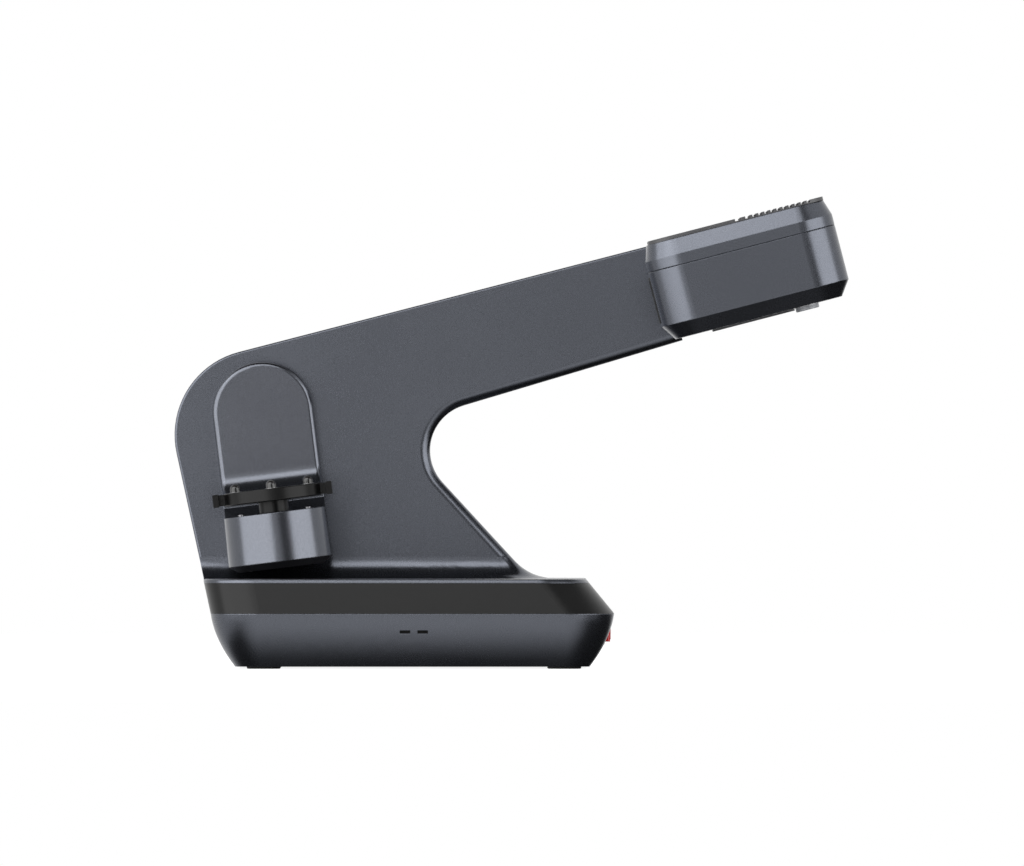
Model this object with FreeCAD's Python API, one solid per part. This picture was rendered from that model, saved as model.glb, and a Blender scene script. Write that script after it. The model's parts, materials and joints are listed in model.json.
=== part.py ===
import FreeCAD, Part
import math
import os

# Desktop 3D scanner: a base, a leaning column with a long arm, a scan head at the arm's end,
# and a motor-driven swing arm that carries a turntable. Millimetres, degrees.
# +X is to the right seen from the front, +Y to the back, +Z up. Z is 0 under the feet.

V = FreeCAD.Vector

# Fits and cuts
overrun = 4.0
seat_gap = 0.05
running_gap = 0.05
panel_gap = 0.2
swing_gap = 1.0
reveal = 0.4
reveal_in = 0.4
same_point = 0.00001
edge_tol = 0.005

# Base: lower shell, band and deck
base_left = -187.0
base_right = 64.0
base_front = -130.0
base_back = 130.0
base_corner = 31.0
shell_bottom = 1.4
parting_z = 34.3
deck_bottom = 53.3
deck_top = 55.8
hull_lean_share = 0.148
hull_bulge = 104.5
band_right_in = 17.6
band_front_in = 6.0
band_back_in = 2.5
shell_wall = 2.6
shell_floor = 3.0
band_wall = 2.4
rim_round = 1.2
hull_steps = 4

# Feet and the steel plate that ballasts the base
foot_d = 21.2
foot_sunk = 1.2
foot_left_x = -154.0
foot_right_x = 33.0
foot_y = 93.0
foot_round = 1.0
foot_dish_d = 10.0
foot_dish_depth = 0.9
plate_left = -165.0
plate_right = 43.0
plate_half_y = 104.0
plate_corner = 14.0
plate_t = 5.0

# Screws: head diameter, head height, shank diameter, length under the head
foot_screw = (7.0, 2.2, 4.0, 9.0)
case_screw = (5.6, 2.4, 3.0, 14.0)
cover_screw = (5.6, 2.4, 3.0, 20.0)
frame_screw = (7.0, 3.0, 4.0, 7.0)
motor_screw = (5.5, 2.4, 3.0, 6.5)
head_screw = (4.6, 1.8, 2.5, 12.0)
small_screw = (3.6, 1.2, 2.0, 5.0)
socket_share = 0.5
socket_depth_share = 0.55

# Slab: the column and the arm, seen from the front
slab_left = -187.6
lean = 12.3
arm_tilt = 14.5
arm_under_tilt = 16.6
column_slope = 47.4
under_x = 96.4
under_z = 201.5
column_x = -24.4
column_z = 95.6
slab_corner = 53.6
slab_throat = 29.3
slab_front = 30.0
slab_back = 89.5
slab_wall = 2.6
arm_end_u = 155.0
outer_round = 1.3
inner_round = 6.0
back_round = 3.0
foot_cove = 13.5
foot_flare = 33.0
foot_steps = 6
foot_last_turn = 78.0
foot_bed = 0.8
cover_y = 80.0
cover_boss_r = 4.6
cover_boss_in = 7.5
cover_bore_y = 86.0
cover_screw_rise = 25.0
cover_screw_below_axis = 29.3
cover_screw_far = 41.0
cover_screw_near = 126.3

# Frame inside the slab
frame_y = 60.0
frame_t = 4.0
frame_in = 15.0
frame_flange = 30.0
frame_left_x = -140.0
frame_right_x = -20.0
frame_window_r = 13.0
frame_window_shares = (0.166, 0.416, 0.666)
frame_tongue_end_u = 174.0
frame_tongue_w = 36.0
frame_tab = 10.5

# Case posts between the lower shell and the deck
post_r = 5.0
post_left_x = -152.0
post_right_x = 22.0
post_y = 62.0
post_top = 41.0
post_seat = 36.0

# Swing axis and drive
swing_x = -155.3
swing_z = 159.8
rest_tilt = 7.0
shaft_r = 6.0
shaft_end_y = 78.0
shaft_flat = 0.5
hub_r = 13.0
hub_hole_gap = 0.6
housing_r = 18.0
housing_flange_r = 25.0
housing_flange_t = 4.0
housing_front_y = 35.0
housing_screw_count = 4
bearing_r = 14.0
bearing_t = 8.0
bearing_groove = 0.6
pulley_r = 20.0
pulley_y = 67.0
pulley_w = 8.0
pulley_flange = 1.2
pulley_flange_t = 1.0
pulley_windows = 5
belt_t = 1.4
belt_gap = 0.1
motor_pulley_r = 8.0
swing_motor_dx = 30.0
swing_motor_drop = 56.0
motor_side = 42.0
motor_depth = 25.0
motor_chamfer = 5.0
motor_waist = 1.0
motor_cap = 8.0
motor_shaft_r = 2.5
motor_boss_r = 11.0
motor_hole_pitch = 31.0

# Swing arm, measured down from the swing axis
bulge_r = 31.5
bulge_front = 18.0
bulge_round = 3.0
ledge_start = 36.1
ledge_turn = 75.8
ledge_front = 8.5
ledge_foot_drop = 57.0
ledge_foot_turn = 55.0
table_drop = 47.8
table_t = 8.0
shelf_drop = 63.2
shelf_low_drop = 93.8
shelf_bottom_drop = 97.9
shelf_r = 31.9
shelf_low_r = 32.6
shelf_wall = 2.8
shelf_top_t = 3.0
shelf_back_chamfer = 14.0
cover_chamfer_in = 6.2
shelf_screw_ring = 25.5
shelf_screw_x = 24.0

# Turntable
table_y = -32.0
table_r = 30.4
table_round = 0.7
lug_neck_end = 33.8
lug_end = 37.4
lug_neck_half = 5.0
lug_tab_half = 9.0
lug_neck_low = 0.5
ball_r = 3.2
ball_ring = 26.4
ball_turns = (30, 150, 270)
ball_rise = 2.0
ball_stem_r = 1.2
ball_stem = 4.0
table_hub_r = 9.45
table_hub_gap = 0.3
table_shaft_r = 4.0
table_bearing_r = 11.0
table_bearing_t = 7.0
table_bearing_seat = 1.0
table_bolt_r = 2.5
table_bolt_head_r = 4.5
table_bolt_head_t = 2.5
gear_module = 1.0
gear_teeth = 40
pinion_teeth = 12
gear_t = 4.0
gear_drop = 73.5
gear_hub_r = 7.0
gear_windows = 6
tooth_up_share = 0.8
tooth_down_share = 1.1
tooth_root_share = 0.58
tooth_tip_share = 0.28
table_motor_r = 12.0
table_motor_top_drop = 79.5
table_motor_ear = 16.0
table_motor_ear_t = 1.2
table_motor_ear_half = 3.0
table_motor_shaft_r = 1.5
dot_x = 21.0
dot_spread = 6.0

# Head, in the arm's own directions: u along the arm, w square to it
head_u0 = 144.3
head_u1 = 264.0
head_front = -112.0
head_back = 92.0
head_corner = 22.0
head_low_bevel = 9.3
head_low_wall = 34.6
head_high_wall = 7.0
head_high_bevel = 9.9
head_w0 = 173.0
head_w1 = head_w0 + head_low_bevel
head_parting = head_w1 + head_low_wall
head_w2 = head_parting + head_high_wall
head_w3 = head_w2 + head_high_bevel
head_low_in = 6.6
head_top_in = 3.2
head_wall = 2.5
head_floor = 2.6
head_roof = 2.6
grille_in_left = 4.6
grille_in_right = 3.0
grille_in_depth = 5.0
grille_u0 = head_u0 + grille_in_left
grille_u1 = head_u1 - grille_in_right
grille_front = head_front + grille_in_depth
grille_back = head_back - grille_in_depth
grille_t = 2.3
grille_web = 0.8
grille_round = 14.0
rib_count = 10
rib_pitch = 3.88
rib_w = 1.9
rib_end_gap = 8.3
rib_lead = 2.7
notch_w = 3.2
block_w = 3.4
rib_first_u = grille_u1 - rib_end_gap - rib_count * rib_pitch
notch_u = rib_first_u - rib_lead - block_w - notch_w
vent_margin = 14.0
window_half = 55.0
window_in_low = 4.7
window_in_high = 4.9
window_low = head_w1 + window_in_low
window_high = head_parting - window_in_high
window_t = 2.0
window_lip = 2.0
service_u0 = 174.4
service_u1 = 227.0
service_front = -62.0
service_back = 14.0
service_t = 1.3
service_corner = 4.0
service_screw_in = 5.0

# Optics in the head
bench_t = 4.0
bench_rise = 5.0
bench_in_left = 13.7
bench_in_right = 12.0
bench_in_front = 10.0
bench_in_back = 12.0
bench_w = head_w0 + bench_rise
bench_u0 = head_u0 + bench_in_left
bench_u1 = head_u1 - bench_in_right
bench_front = head_front + bench_in_front
bench_back = head_back - bench_in_back
bench_corner = 6.0
bench_leg_r = 4.0
optic_rise = 22.0
optic_w = bench_w + optic_rise
camera_spread = 43.0
camera_size = 29.0
camera_len = 32.0
camera_in = 14.0
camera_front_u = bench_u0 + camera_in
lens_r = 8.0
lens_hood_r = 9.5
lens_len = 15.0
lens_glass_r = 6.0
lens_glass_t = 1.5
toe_in = 9.3
camera_chamfer = 1.4
projector_w = 36.0
projector_h = 28.0
projector_len = 44.0
projector_chamfer = 1.2
projector_lens_r = 10.0
sink_len = 26.0
sink_base = 3.0
sink_fins = 9
sink_fin_t = 1.4
fan_side = 40.0
fan_t = 10.0
fan_in = 28.5
fan_u = grille_u1 - fan_in
fan_wall = 1.6
fan_hub_r = 8.0
fan_blades = 7
fan_tip_gap = 0.6
fan_boss_r = 7.0
fan_spoke_w = 2.6
fan_spoke_t = 1.6
fan_spoke_turns = (0, 60, 120)
fan_pin_r = 2.0
fan_blade_t = 0.8
fan_blade_pitch = 40.0
board_t = 1.6
head_board_gap = 6.0
head_board_in = 41.5
head_board_half_y = (head_back - head_front) / 2 - head_board_in
head_board_rise = 8.0
head_board_high = 26.0
head_board_u = head_u1 - head_wall - head_board_gap
head_board_w0 = bench_w + head_board_rise
head_board_w1 = head_board_w0 + head_board_high
chip_h = 2.2
button_u = 234.7
button_y = -86.0
button_r = 7.4
button_out = 3.0
button_edge = 0.6
button_dish_r = 29.6
button_dish_depth = 0.4
button_flange = 1.0
button_flange_t = 1.2
button_stem_r = 2.0
button_tube_t = 1.6
button_lid_t = 1.6
button_room = 3.4
spring_wire = 0.5
spring_turns = 3.5
spring_r = 3.6

# Electronics and inlets in the base
board_x0 = -150.0
board_x1 = -62.0
board_y0 = -88.0
board_y1 = -26.0
board_rise = 6.0
standoff_r = 3.0
port_x0 = -122.0
port_x1 = -70.0
port_z0 = 10.6
port_z1 = 28.6
port_panel_y = 117.0
port_panel_t = 2.0
port_ledge = 1.6
port_wall = 1.8
jack_x = -108.0
jack_outer_r = 5.6
jack_bore_r = 3.2
jack_pin_r = 1.1
jack_len = 14.0
usb_x = -86.0
usb_w = 12.0
usb_h = 10.8
usb_len = 15.0
usb_wall = 1.0
dash_pitch = 11.0
dash_x = -60.5
dash_z = 23.0
dash_len = 6.2
dash_h = 1.6
dash_depth = 4.6
lamp_board_h = 9.0
switch_y = 62.0
switch_z = 21.7
switch_face_x = 58.4
switch_half_y = 11.0
switch_half_z = 7.3
switch_depth = 17.0
switch_rim = 1.4
switch_pin_r = 1.0
rocker_half_y = 8.9
rocker_half_z = 5.6
rocker_rise = 3.3
rocker_tip = 6.0
rocker_depth = 4.2
rocker_pivot_in = 3.6
rocker_turn = 9.0

# Cable from the main board to the head board, by its corners
cable_r = 2.2
cable_bend_share = 0.45
cable_route = [
    (-70.8, -57, 25.8), (-70.8, -57, 37), (-73, -18, 45), (-76, 36, 43), (-84, 46, 68), (-88, 44, 104),
    (-84, 46, 138), (-62, 47, 168), (-30, 46, 190), (4, 44, 212), (45, 46, 221), (84, 45, 232),
    (124, 46, 240.5), (160, 45, 250), (184, 33, 256), (194.6, 16, 259.4),
]


def sin(angle):
    return math.sin(math.radians(angle))


def cos(angle):
    return math.cos(math.radians(angle))


def tan(angle):
    return math.tan(math.radians(angle))


def box(x0, x1, y0, y1, z0, z1):
    return Part.makeBox(x1 - x0, y1 - y0, z1 - z0, V(x0, y0, z0))


def rod(radius, start, end):
    return Part.makeCylinder(radius, (end - start).Length, start, end - start)


def tube(outer, inner, start, end):
    way = (end - start).normalize() * overrun
    return rod(outer, start, end).cut(rod(inner, start - way, end + way))


def join(shapes):
    first = shapes[0]
    rest = shapes[1:]
    return first.fuse(rest) if rest else first


def outline(corners, place):
    """A closed wire through corners (a, b, radius); place turns (a, b) into a point."""
    count = len(corners)
    stops = []
    for index, (a, b, radius) in enumerate(corners):
        point = place(a, b)
        before = place(*corners[index - 1][:2])
        after = place(*corners[(index + 1) % count][:2])
        if radius <= 0:
            stops.append((point, None, point))
            continue
        back = (before - point).normalize()
        onward = (after - point).normalize()
        half = back.getAngle(onward) / 2
        reach = radius / math.tan(half)
        middle = (back + onward).normalize()
        top = point + middle * (radius / math.sin(half) - radius)
        stops.append((point + back * reach, top, point + onward * reach))
    edges = []
    for index, (start, top, end) in enumerate(stops):
        if top is not None:
            edges.append(Part.Arc(start, top, end).toShape())
        following = stops[(index + 1) % count][0]
        if not following.isEqual(end, same_point):
            edges.append(Part.makeLine(end, following))
    return Part.Wire(edges)


def prism_y(corners, y0, y1):
    wire = outline(corners, lambda a, b: V(a, y0, b))
    return Part.Face(wire).extrude(V(0, y1 - y0, 0))


def prism_z(corners, z0, z1):
    wire = outline(corners, lambda a, b: V(a, b, z0))
    return Part.Face(wire).extrude(V(0, 0, z1 - z0))


def prism_x(corners, x0, x1):
    wire = outline(corners, lambda a, b: V(x0, a, b))
    return Part.Face(wire).extrude(V(x1 - x0, 0, 0))


def rounded(x0, x1, y0, y1, radius):
    return [(x0, y0, radius), (x1, y0, radius), (x1, y1, radius), (x0, y1, radius)]


def loft_z(sections, ruled):
    """A solid through (corners, z) sections."""
    wires = []
    for corners, z in sections:
        wires.append(outline(corners, lambda a, b: V(a, b, z)))
    return Part.makeLoft(wires, True, ruled)


def screw(spec, seat, way):
    """A socket-head screw: seat is under the head, way is where the shank points."""
    head_d, head_h, shank_d, length = spec
    way = V(way)
    way.normalize()
    top = seat - way * head_h
    body = rod(head_d / 2, top, seat).fuse(rod(shank_d / 2, seat, seat + way * length))
    socket = rod(head_d * socket_share / 2, top - way * head_h, top + way * (head_h * socket_depth_share))
    return body.cut(socket)


def screw_hole(spec, seat, way):
    """The room that a screw needs: its shank and its head, with the seat gap all round."""
    head_d, head_h, shank_d, length = spec
    way = V(way)
    way.normalize()
    shank = rod(shank_d / 2 + seat_gap, seat - way * seat_gap, seat + way * (length + seat_gap))
    head = rod(head_d / 2 + seat_gap, seat - way * (head_h + overrun), seat)
    return shank.fuse(head)


def turned(shape, angle, centre, axis):
    shape = shape.copy()
    shape.rotate(centre, axis, angle)
    return shape


def moved(shape, step):
    shape = shape.copy()
    shape.translate(step)
    return shape


def head_place(shape):
    return turned(shape, -arm_tilt, V(0, 0, 0), V(0, 1, 0))


def swing_place(shape):
    return moved(turned(shape, -rest_tilt, V(0, 0, 0), V(0, 1, 0)), V(swing_x, 0, swing_z))


def edges_where(shape, test):
    return [edge for edge in shape.Edges if test(edge.valueAt(sum(edge.ParameterRange) / 2))]


# Base outline at any height

def hull_inset(depth):
    return hull_lean_share * depth + depth * depth / hull_bulge


def base_corners(z, inset):
    if z <= parting_z:
        side = hull_inset(parting_z - z) + inset
        return rounded(base_left + side, base_right - side, base_front + side, base_back - side,
                       base_corner - side)
    share = (z - parting_z) / (deck_top - parting_z)
    left = base_left - (z - parting_z) * tan(lean) + inset
    right = base_right - band_right_in * share - inset
    front = base_front + band_front_in * share + inset
    back = base_back - band_back_in * share - inset
    return rounded(left, right, front, back, base_corner - inset)


def base_loft(z0, z1, inset, steps, ruled):
    levels = [z0 + (z1 - z0) * step / steps for step in range(steps + 1)]
    return loft_z([(base_corners(z, inset), z) for z in levels], ruled)


floor_z = shell_bottom + shell_floor
head_mid_y = table_y
plate_top = floor_z + plate_t
foot_places = [(x, y) for x in (foot_left_x, foot_right_x) for y in (-foot_y, foot_y)]
post_places = [(x, y) for x in (post_left_x, post_right_x) for y in (-post_y, post_y)]


def front_wall_y(z):
    return base_corners(z, 0)[0][1]


def base_lower_shell():
    shell = base_loft(shell_bottom, parting_z, 0, hull_steps, False)
    shell = shell.cut(base_loft(floor_z, parting_z, shell_wall, hull_steps, False))
    posts = [rod(post_r, V(x, y, floor_z - shell_floor / 2), V(x, y, post_top)) for x, y in post_places]
    port = box(port_x0 - port_wall, port_x1 + port_wall, port_panel_y - port_ledge, base_back,
               port_z0 - port_wall, port_z1 + port_wall)
    port = port.common(base_loft(shell_bottom, parting_z, seat_gap, hull_steps, False))
    shell = join([shell, port] + posts)
    for x, y in post_places:
        seat = V(x, y, post_seat)
        shell = shell.cut(screw_hole(case_screw, seat, V(0, 0, 1)))
        shell = shell.cut(rod(case_screw[0] / 2 + panel_gap, V(x, y, 0), seat))
    for x, y in foot_places:
        shell = shell.cut(rod(foot_d / 2 + seat_gap, V(x, y, 0), V(x, y, shell_bottom + foot_sunk)))
        shell = shell.cut(rod(foot_screw[2] / 2 + seat_gap, V(x, y, 0), V(x, y, plate_top)))
    shell = shell.cut(box(port_x0, port_x1, port_panel_y, base_back + overrun, port_z0, port_z1))
    shell = shell.cut(box(port_x0 + port_ledge, port_x1 - port_ledge, port_panel_y - port_ledge - overrun,
                          port_panel_y + overrun, port_z0 + port_ledge, port_z1 - port_ledge))
    for slot in dash_slots(panel_gap / 2, overrun):
        shell = shell.cut(slot)
    shell = shell.cut(box(switch_face_x - switch_depth, base_right + overrun,
                          switch_y - switch_half_y - panel_gap,
                          switch_y + switch_half_y + panel_gap, switch_z - switch_half_z - panel_gap,
                          switch_z + switch_half_z + panel_gap))
    return shell


def dash_slots(gap, before):
    """Blocks of the two indicator windows, larger by a gap all round and longer in front."""
    wall_y = front_wall_y(dash_z) + panel_gap
    slots = []
    for side in (-1, 1):
        middle = dash_x + side * dash_pitch / 2
        slots.append(box(middle - dash_len / 2 - gap, middle + dash_len / 2 + gap,
                         wall_y - before, wall_y + dash_depth,
                         dash_z - dash_h / 2 - gap, dash_z + dash_h / 2 + gap))
    return slots


def indicator_windows():
    return Part.makeCompound(dash_slots(0, 0))


def indicator_board():
    y0 = front_wall_y(dash_z) + panel_gap + dash_depth
    half = dash_pitch / 2 + dash_len
    low = dash_z - lamp_board_h / 2
    leg_y = -plate_half_y + 2 * board_t
    board = box(dash_x - half, dash_x + half, y0, y0 + board_t, low, dash_z + lamp_board_h / 2)
    arm = box(dash_x - half, dash_x + half, y0 + board_t / 2, leg_y, low, low + board_t)
    leg = box(dash_x - half, dash_x + half, leg_y - board_t, leg_y, plate_top, low + board_t)
    return join([board, arm, leg]).removeSplitter()


def base_upper_band():
    band = base_loft(parting_z, deck_bottom, 0, 1, True)
    return band.cut(base_loft(parting_z, deck_bottom, band_wall, 1, True))


def feet():
    pads = []
    for x, y in foot_places:
        pad = rod(foot_d / 2, V(x, y, 0), V(x, y, shell_bottom + foot_sunk))
        pad = pad.makeFillet(foot_round, edges_where(pad, lambda p: p.z < foot_round / 2))
        pad = pad.cut(rod(foot_dish_d / 2, V(x, y, -overrun), V(x, y, foot_dish_depth)))
        pad = pad.cut(screw_hole(foot_screw, V(x, y, foot_dish_depth + seat_gap), V(0, 0, 1)))
        pads.append(pad)
    return Part.makeCompound(pads)


def foot_screws():
    head_d, head_h, shank_d, length = foot_screw
    low = foot_dish_depth
    spec = (head_d, low / 2, shank_d, length)
    return Part.makeCompound([screw(spec, V(x, y, low), V(0, 0, 1)) for x, y in foot_places])


def case_screws():
    return Part.makeCompound([screw(case_screw, V(x, y, post_seat), V(0, 0, 1)) for x, y in post_places])


def base_plate():
    plate = prism_z(rounded(plate_left, plate_right, -plate_half_y, plate_half_y, plate_corner), floor_z,
                    plate_top)
    for x, y in post_places:
        plate = plate.cut(rod(post_r + panel_gap, V(x, y, floor_z - overrun), V(x, y, plate_top + overrun)))
    for x, y in foot_places:
        plate = plate.cut(rod(foot_screw[2] / 2 + seat_gap, V(x, y, 0), V(x, y, plate_top + overrun)))
    for seat in frame_screw_seats():
        plate = plate.cut(screw_hole(frame_screw, seat, V(0, 0, -1)))
    return plate


# Slab outline: five straight lines and the arcs between them

def line(x, z, angle):
    return (x, z, cos(angle), sin(angle))


def shifted(path, distance):
    """The line moved to its left by a distance."""
    x, z, dx, dz = path
    return (x - dz * distance, z + dx * distance, dx, dz)


def crossing(one, two):
    x, z, dx, dz = one
    a, b, da, db = two
    along = ((a - x) * db - (b - z) * da) / (dx * db - dz * da)
    return (x + dx * along, z + dz * along)


left_line = line(slab_left, parting_z, 90 + lean)
top_line = line(-head_w3 * sin(arm_tilt), head_w3 * cos(arm_tilt), arm_tilt)
under_line = line(under_x, under_z, arm_under_tilt)
column_line = line(column_x, column_z, 180 - column_slope)


def level(z):
    return line(0, z, 0)


def across_arm(u):
    return line(u * cos(arm_tilt), u * sin(arm_tilt), 90 + arm_tilt)


def slab_corners(inset, bottom_z, end_u):
    left = shifted(left_line, -inset)
    top = shifted(top_line, -inset)
    under = shifted(under_line, inset)
    column = shifted(column_line, inset)
    end = across_arm(end_u)
    return [
        crossing(level(bottom_z), left) + (0,),
        crossing(left, top) + (slab_corner - inset,),
        crossing(top, end) + (0,),
        crossing(end, under) + (0,),
        crossing(under, column) + (slab_throat + inset,),
        crossing(column, level(bottom_z)) + (0,),
    ]


def foot_section(z, back):
    """Plan of the slab's foot: a cove in front and a wider flare on the column's side."""
    rise = z - deck_top
    drop = max(foot_cove - rise, 0)
    cove = foot_cove - math.sqrt(foot_cove ** 2 - drop ** 2)
    right = crossing(column_line, level(z))[0]
    flare_end = crossing(column_line, level(deck_top))[0] + foot_flare * tan(column_slope / 2)
    if rise < foot_flare * (1 - cos(column_slope)):
        right = flare_end - math.sqrt(foot_flare ** 2 - (foot_flare - rise) ** 2)
    left = crossing(left_line, level(z))[0]
    return [(left, slab_front - cove, 0), (right, slab_front - cove, inner_round + cove), (right, back, 0),
            (left, back, 0)]


def slab_foot():
    turns = [foot_last_turn * step / foot_steps for step in range(foot_steps + 1)]
    heights = [deck_top + foot_cove * (1 - sin(turn)) for turn in turns]
    sections = [(foot_section(z, slab_back), z) for z in heights]
    sections.append((foot_section(deck_top, slab_back), deck_top - foot_bed))
    return loft_z(sections, False)


def slab_block():
    """The whole slab above its foot, with its rounded front edges."""
    block = prism_y(slab_corners(0, deck_top + foot_cove, arm_end_u), slab_front, slab_back)

    def on(path, point):
        x, z, dx, dz = path
        return abs((point.x - x) * -dz + (point.z - z) * dx) < edge_tol

    def at_side(y, point):
        above_foot = point.z > deck_top + foot_cove + edge_tol
        return abs(point.y - y) < edge_tol and above_foot and not on(across_arm(arm_end_u), point)

    def soft(point):
        return at_side(slab_front, point) and point.x > swing_x and not on(top_line, point)

    def crisp(point):
        return at_side(slab_front, point) and (point.x < swing_x or on(top_line, point))

    def behind(point):
        return at_side(slab_back, point)

    block = block.makeFillet(inner_round, edges_where(block, soft))
    block = block.makeFillet(outer_round, edges_where(block, crisp))
    return block.makeFillet(back_round, edges_where(block, behind))


def deck():
    deck_solid = base_loft(deck_bottom, deck_top, 0, 1, True)
    top_rim = edges_where(deck_solid, lambda p: p.z > deck_top - seat_gap)
    return deck_solid.makeFillet(rim_round, top_rim)


def cover_screw_places():
    """Screw places round the slab's edge, a set distance inside its outline."""
    left = shifted(left_line, -cover_boss_in)
    top = shifted(top_line, -cover_boss_in)
    under = shifted(under_line, cover_boss_in)
    column = shifted(column_line, cover_boss_in)
    return [
        crossing(left, level(deck_top + cover_screw_rise)),
        crossing(left, level(swing_z - cover_screw_below_axis)),
        crossing(top, across_arm(head_u0 - cover_screw_far)),
        crossing(top, across_arm(head_u0 - cover_screw_near)),
        crossing(under, across_arm(head_u0 - cover_screw_far)),
        crossing(column, level(deck_top + cover_screw_rise)),
    ]


def slab_whole():
    return join([slab_block(), slab_foot(), deck()]).removeSplitter()


def slab_cavity():
    """The slab's hollow. It runs down through the deck only where the frame stands."""
    corners = slab_corners(slab_wall, deck_bottom - overrun, arm_end_u + overrun)
    hollow = prism_y(corners, slab_front + slab_wall, slab_back - slab_wall)
    left_x = crossing(left_line, level(deck_top))[0]
    return hollow.cut(box(left_x, frame_left_x - frame_t, slab_front, slab_back, deck_bottom - overrun, deck_top))


def cover_region():
    """The rear cover's room: past the slab on its left and top, and on its line below the arm."""
    past = slab_corners(-overrun, deck_top, arm_end_u + overrun)
    level_with = slab_corners(0, deck_top, arm_end_u + overrun)
    return prism_y(past[:3] + level_with[3:], cover_y, slab_back + overrun)


def cover_bosses(y0, y1):
    return [rod(cover_boss_r, V(x, y0, z), V(x, y1, z)) for x, z in cover_screw_places()]


def cover_holes():
    return [screw_hole(cover_screw, V(x, cover_bore_y, z), V(0, -1, 0)) for x, z in cover_screw_places()]


def body_front_shell():
    shell = slab_whole().cut(slab_cavity()).cut(cover_region())
    bosses = cover_bosses(slab_front + slab_wall / 2, cover_y)
    studs = [rod(post_r, V(x, y, post_top), V(x, y, deck_bottom + seat_gap)) for x, y in post_places]
    shell = join([shell] + bosses + studs)
    for hole in cover_holes():
        shell = shell.cut(hole)
    for x, y in post_places:
        shell = shell.cut(screw_hole(case_screw, V(x, y, post_seat), V(0, 0, 1)))
    hub_hole = rod(hub_r + hub_hole_gap, at(swing_axis, slab_front - overrun),
                   at(swing_axis, slab_front + slab_wall + overrun))
    shell = shell.cut(hub_hole)
    return shell.removeSplitter()


def cover_reveal():
    """The shallow groove where the rear cover meets the front shell."""
    wide = prism_y(slab_corners(-overrun, deck_top, arm_end_u + overrun), cover_y, cover_y + reveal)
    return wide.cut(prism_y(slab_corners(reveal_in, deck_top - overrun, arm_end_u + 2 * overrun),
                            cover_y - overrun, cover_y + overrun))


def body_rear_cover():
    solid = slab_whole().common(cover_region())
    cover = solid.cut(slab_cavity()).cut(cover_reveal())
    cover = join([cover] + [boss.common(solid) for boss in cover_bosses(cover_y, slab_back)])
    for hole in cover_holes():
        cover = cover.cut(hole)
    return cover.removeSplitter()


def rear_cover_screws():
    return Part.makeCompound([screw(cover_screw, V(x, cover_bore_y, z), V(0, -1, 0))
                              for x, z in cover_screw_places()])


# Frame and swing drive

swing_axis = (swing_x, swing_z)
motor_axis = (swing_x + swing_motor_dx, swing_z - swing_motor_drop)
motor_front_y = frame_y - motor_depth
flange_top = plate_top + frame_t


def at(axis, y):
    return V(axis[0], y, axis[1])


def frame_screw_seats():
    xs = (frame_left_x + frame_screw[0], (frame_left_x + frame_right_x) / 2, frame_right_x - frame_screw[0])
    y = frame_y + frame_t + (frame_flange - frame_t) / 2
    return [V(x, y, flange_top) for x in xs]


def motor_screw_places():
    half = motor_hole_pitch / 2
    return [(motor_axis[0] + dx, motor_axis[1] + dz) for dx in (-half, half) for dz in (-half, half)]


def column_frame():
    corners = slab_corners(frame_in, plate_top, arm_end_u + panel_gap)
    knee = crossing(shifted(column_line, frame_in), level(deck_bottom))
    shoulder = crossing(shifted(left_line, -frame_in), level(deck_top + foot_cove))
    corners[0] = (frame_left_x, plate_top, 0)
    corners.insert(1, (frame_left_x, shoulder[1], 0))
    corners.insert(2, shoulder + (0,))
    corners[-1] = knee + (0,)
    corners.append((frame_right_x, plate_top, 0))
    plate = prism_y(corners, frame_y, frame_y + frame_t)
    flange = box(frame_left_x, frame_right_x, frame_y, frame_y + frame_flange, plate_top, flange_top)
    tongue_mid = (head_w0 + head_w3) / 2
    tongue = head_place(box(arm_end_u - frame_in, frame_tongue_end_u, frame_y, frame_y + frame_t,
                            bench_w + bench_t, tongue_mid + frame_tongue_w / 2))
    tab = head_place(box(bench_u0, frame_tongue_end_u, frame_y, frame_y + frame_tab,
                         bench_w + bench_t, bench_w + 2 * bench_t))
    frame = join([plate, flange, tongue, tab])
    y0 = frame_y - overrun
    y1 = frame_y + frame_t + overrun
    cuts = [rod(shaft_r + swing_gap, at(swing_axis, y0), at(swing_axis, y1)),
            rod(motor_boss_r + panel_gap, at(motor_axis, y0), at(motor_axis, y1))]
    for share in frame_window_shares:
        u = share * arm_end_u
        cuts.append(head_place(rod(frame_window_r, V(u, y0, tongue_mid), V(u, y1, tongue_mid))))
    for x, z in motor_screw_places() + housing_screw_places():
        cuts.append(screw_hole(motor_screw, V(x, frame_y + frame_t, z), V(0, -1, 0)))
    for seat in frame_screw_seats():
        cuts.append(screw_hole(frame_screw, seat, V(0, 0, -1)))
    for cut in cuts:
        frame = frame.cut(cut)
    return frame


def frame_screws():
    return Part.makeCompound([screw(frame_screw, seat, V(0, 0, -1)) for seat in frame_screw_seats()])


def bearing_housing():
    body = rod(housing_r, at(swing_axis, housing_front_y), at(swing_axis, frame_y))
    flange = rod(housing_flange_r, at(swing_axis, frame_y - housing_flange_t), at(swing_axis, frame_y))
    body = body.fuse(flange)
    seat_r = bearing_r + seat_gap
    body = body.cut(rod(shaft_r + swing_gap, at(swing_axis, housing_front_y - overrun),
                        at(swing_axis, frame_y + overrun)))
    body = body.cut(rod(seat_r, at(swing_axis, housing_front_y - overrun),
                        at(swing_axis, housing_front_y + bearing_t)))
    for x, z in housing_screw_places():
        body = body.cut(screw_hole(motor_screw, V(x, frame_y + frame_t, z), V(0, -1, 0)))
    return body.cut(rod(seat_r, at(swing_axis, frame_y - bearing_t), at(swing_axis, frame_y + overrun)))


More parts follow.
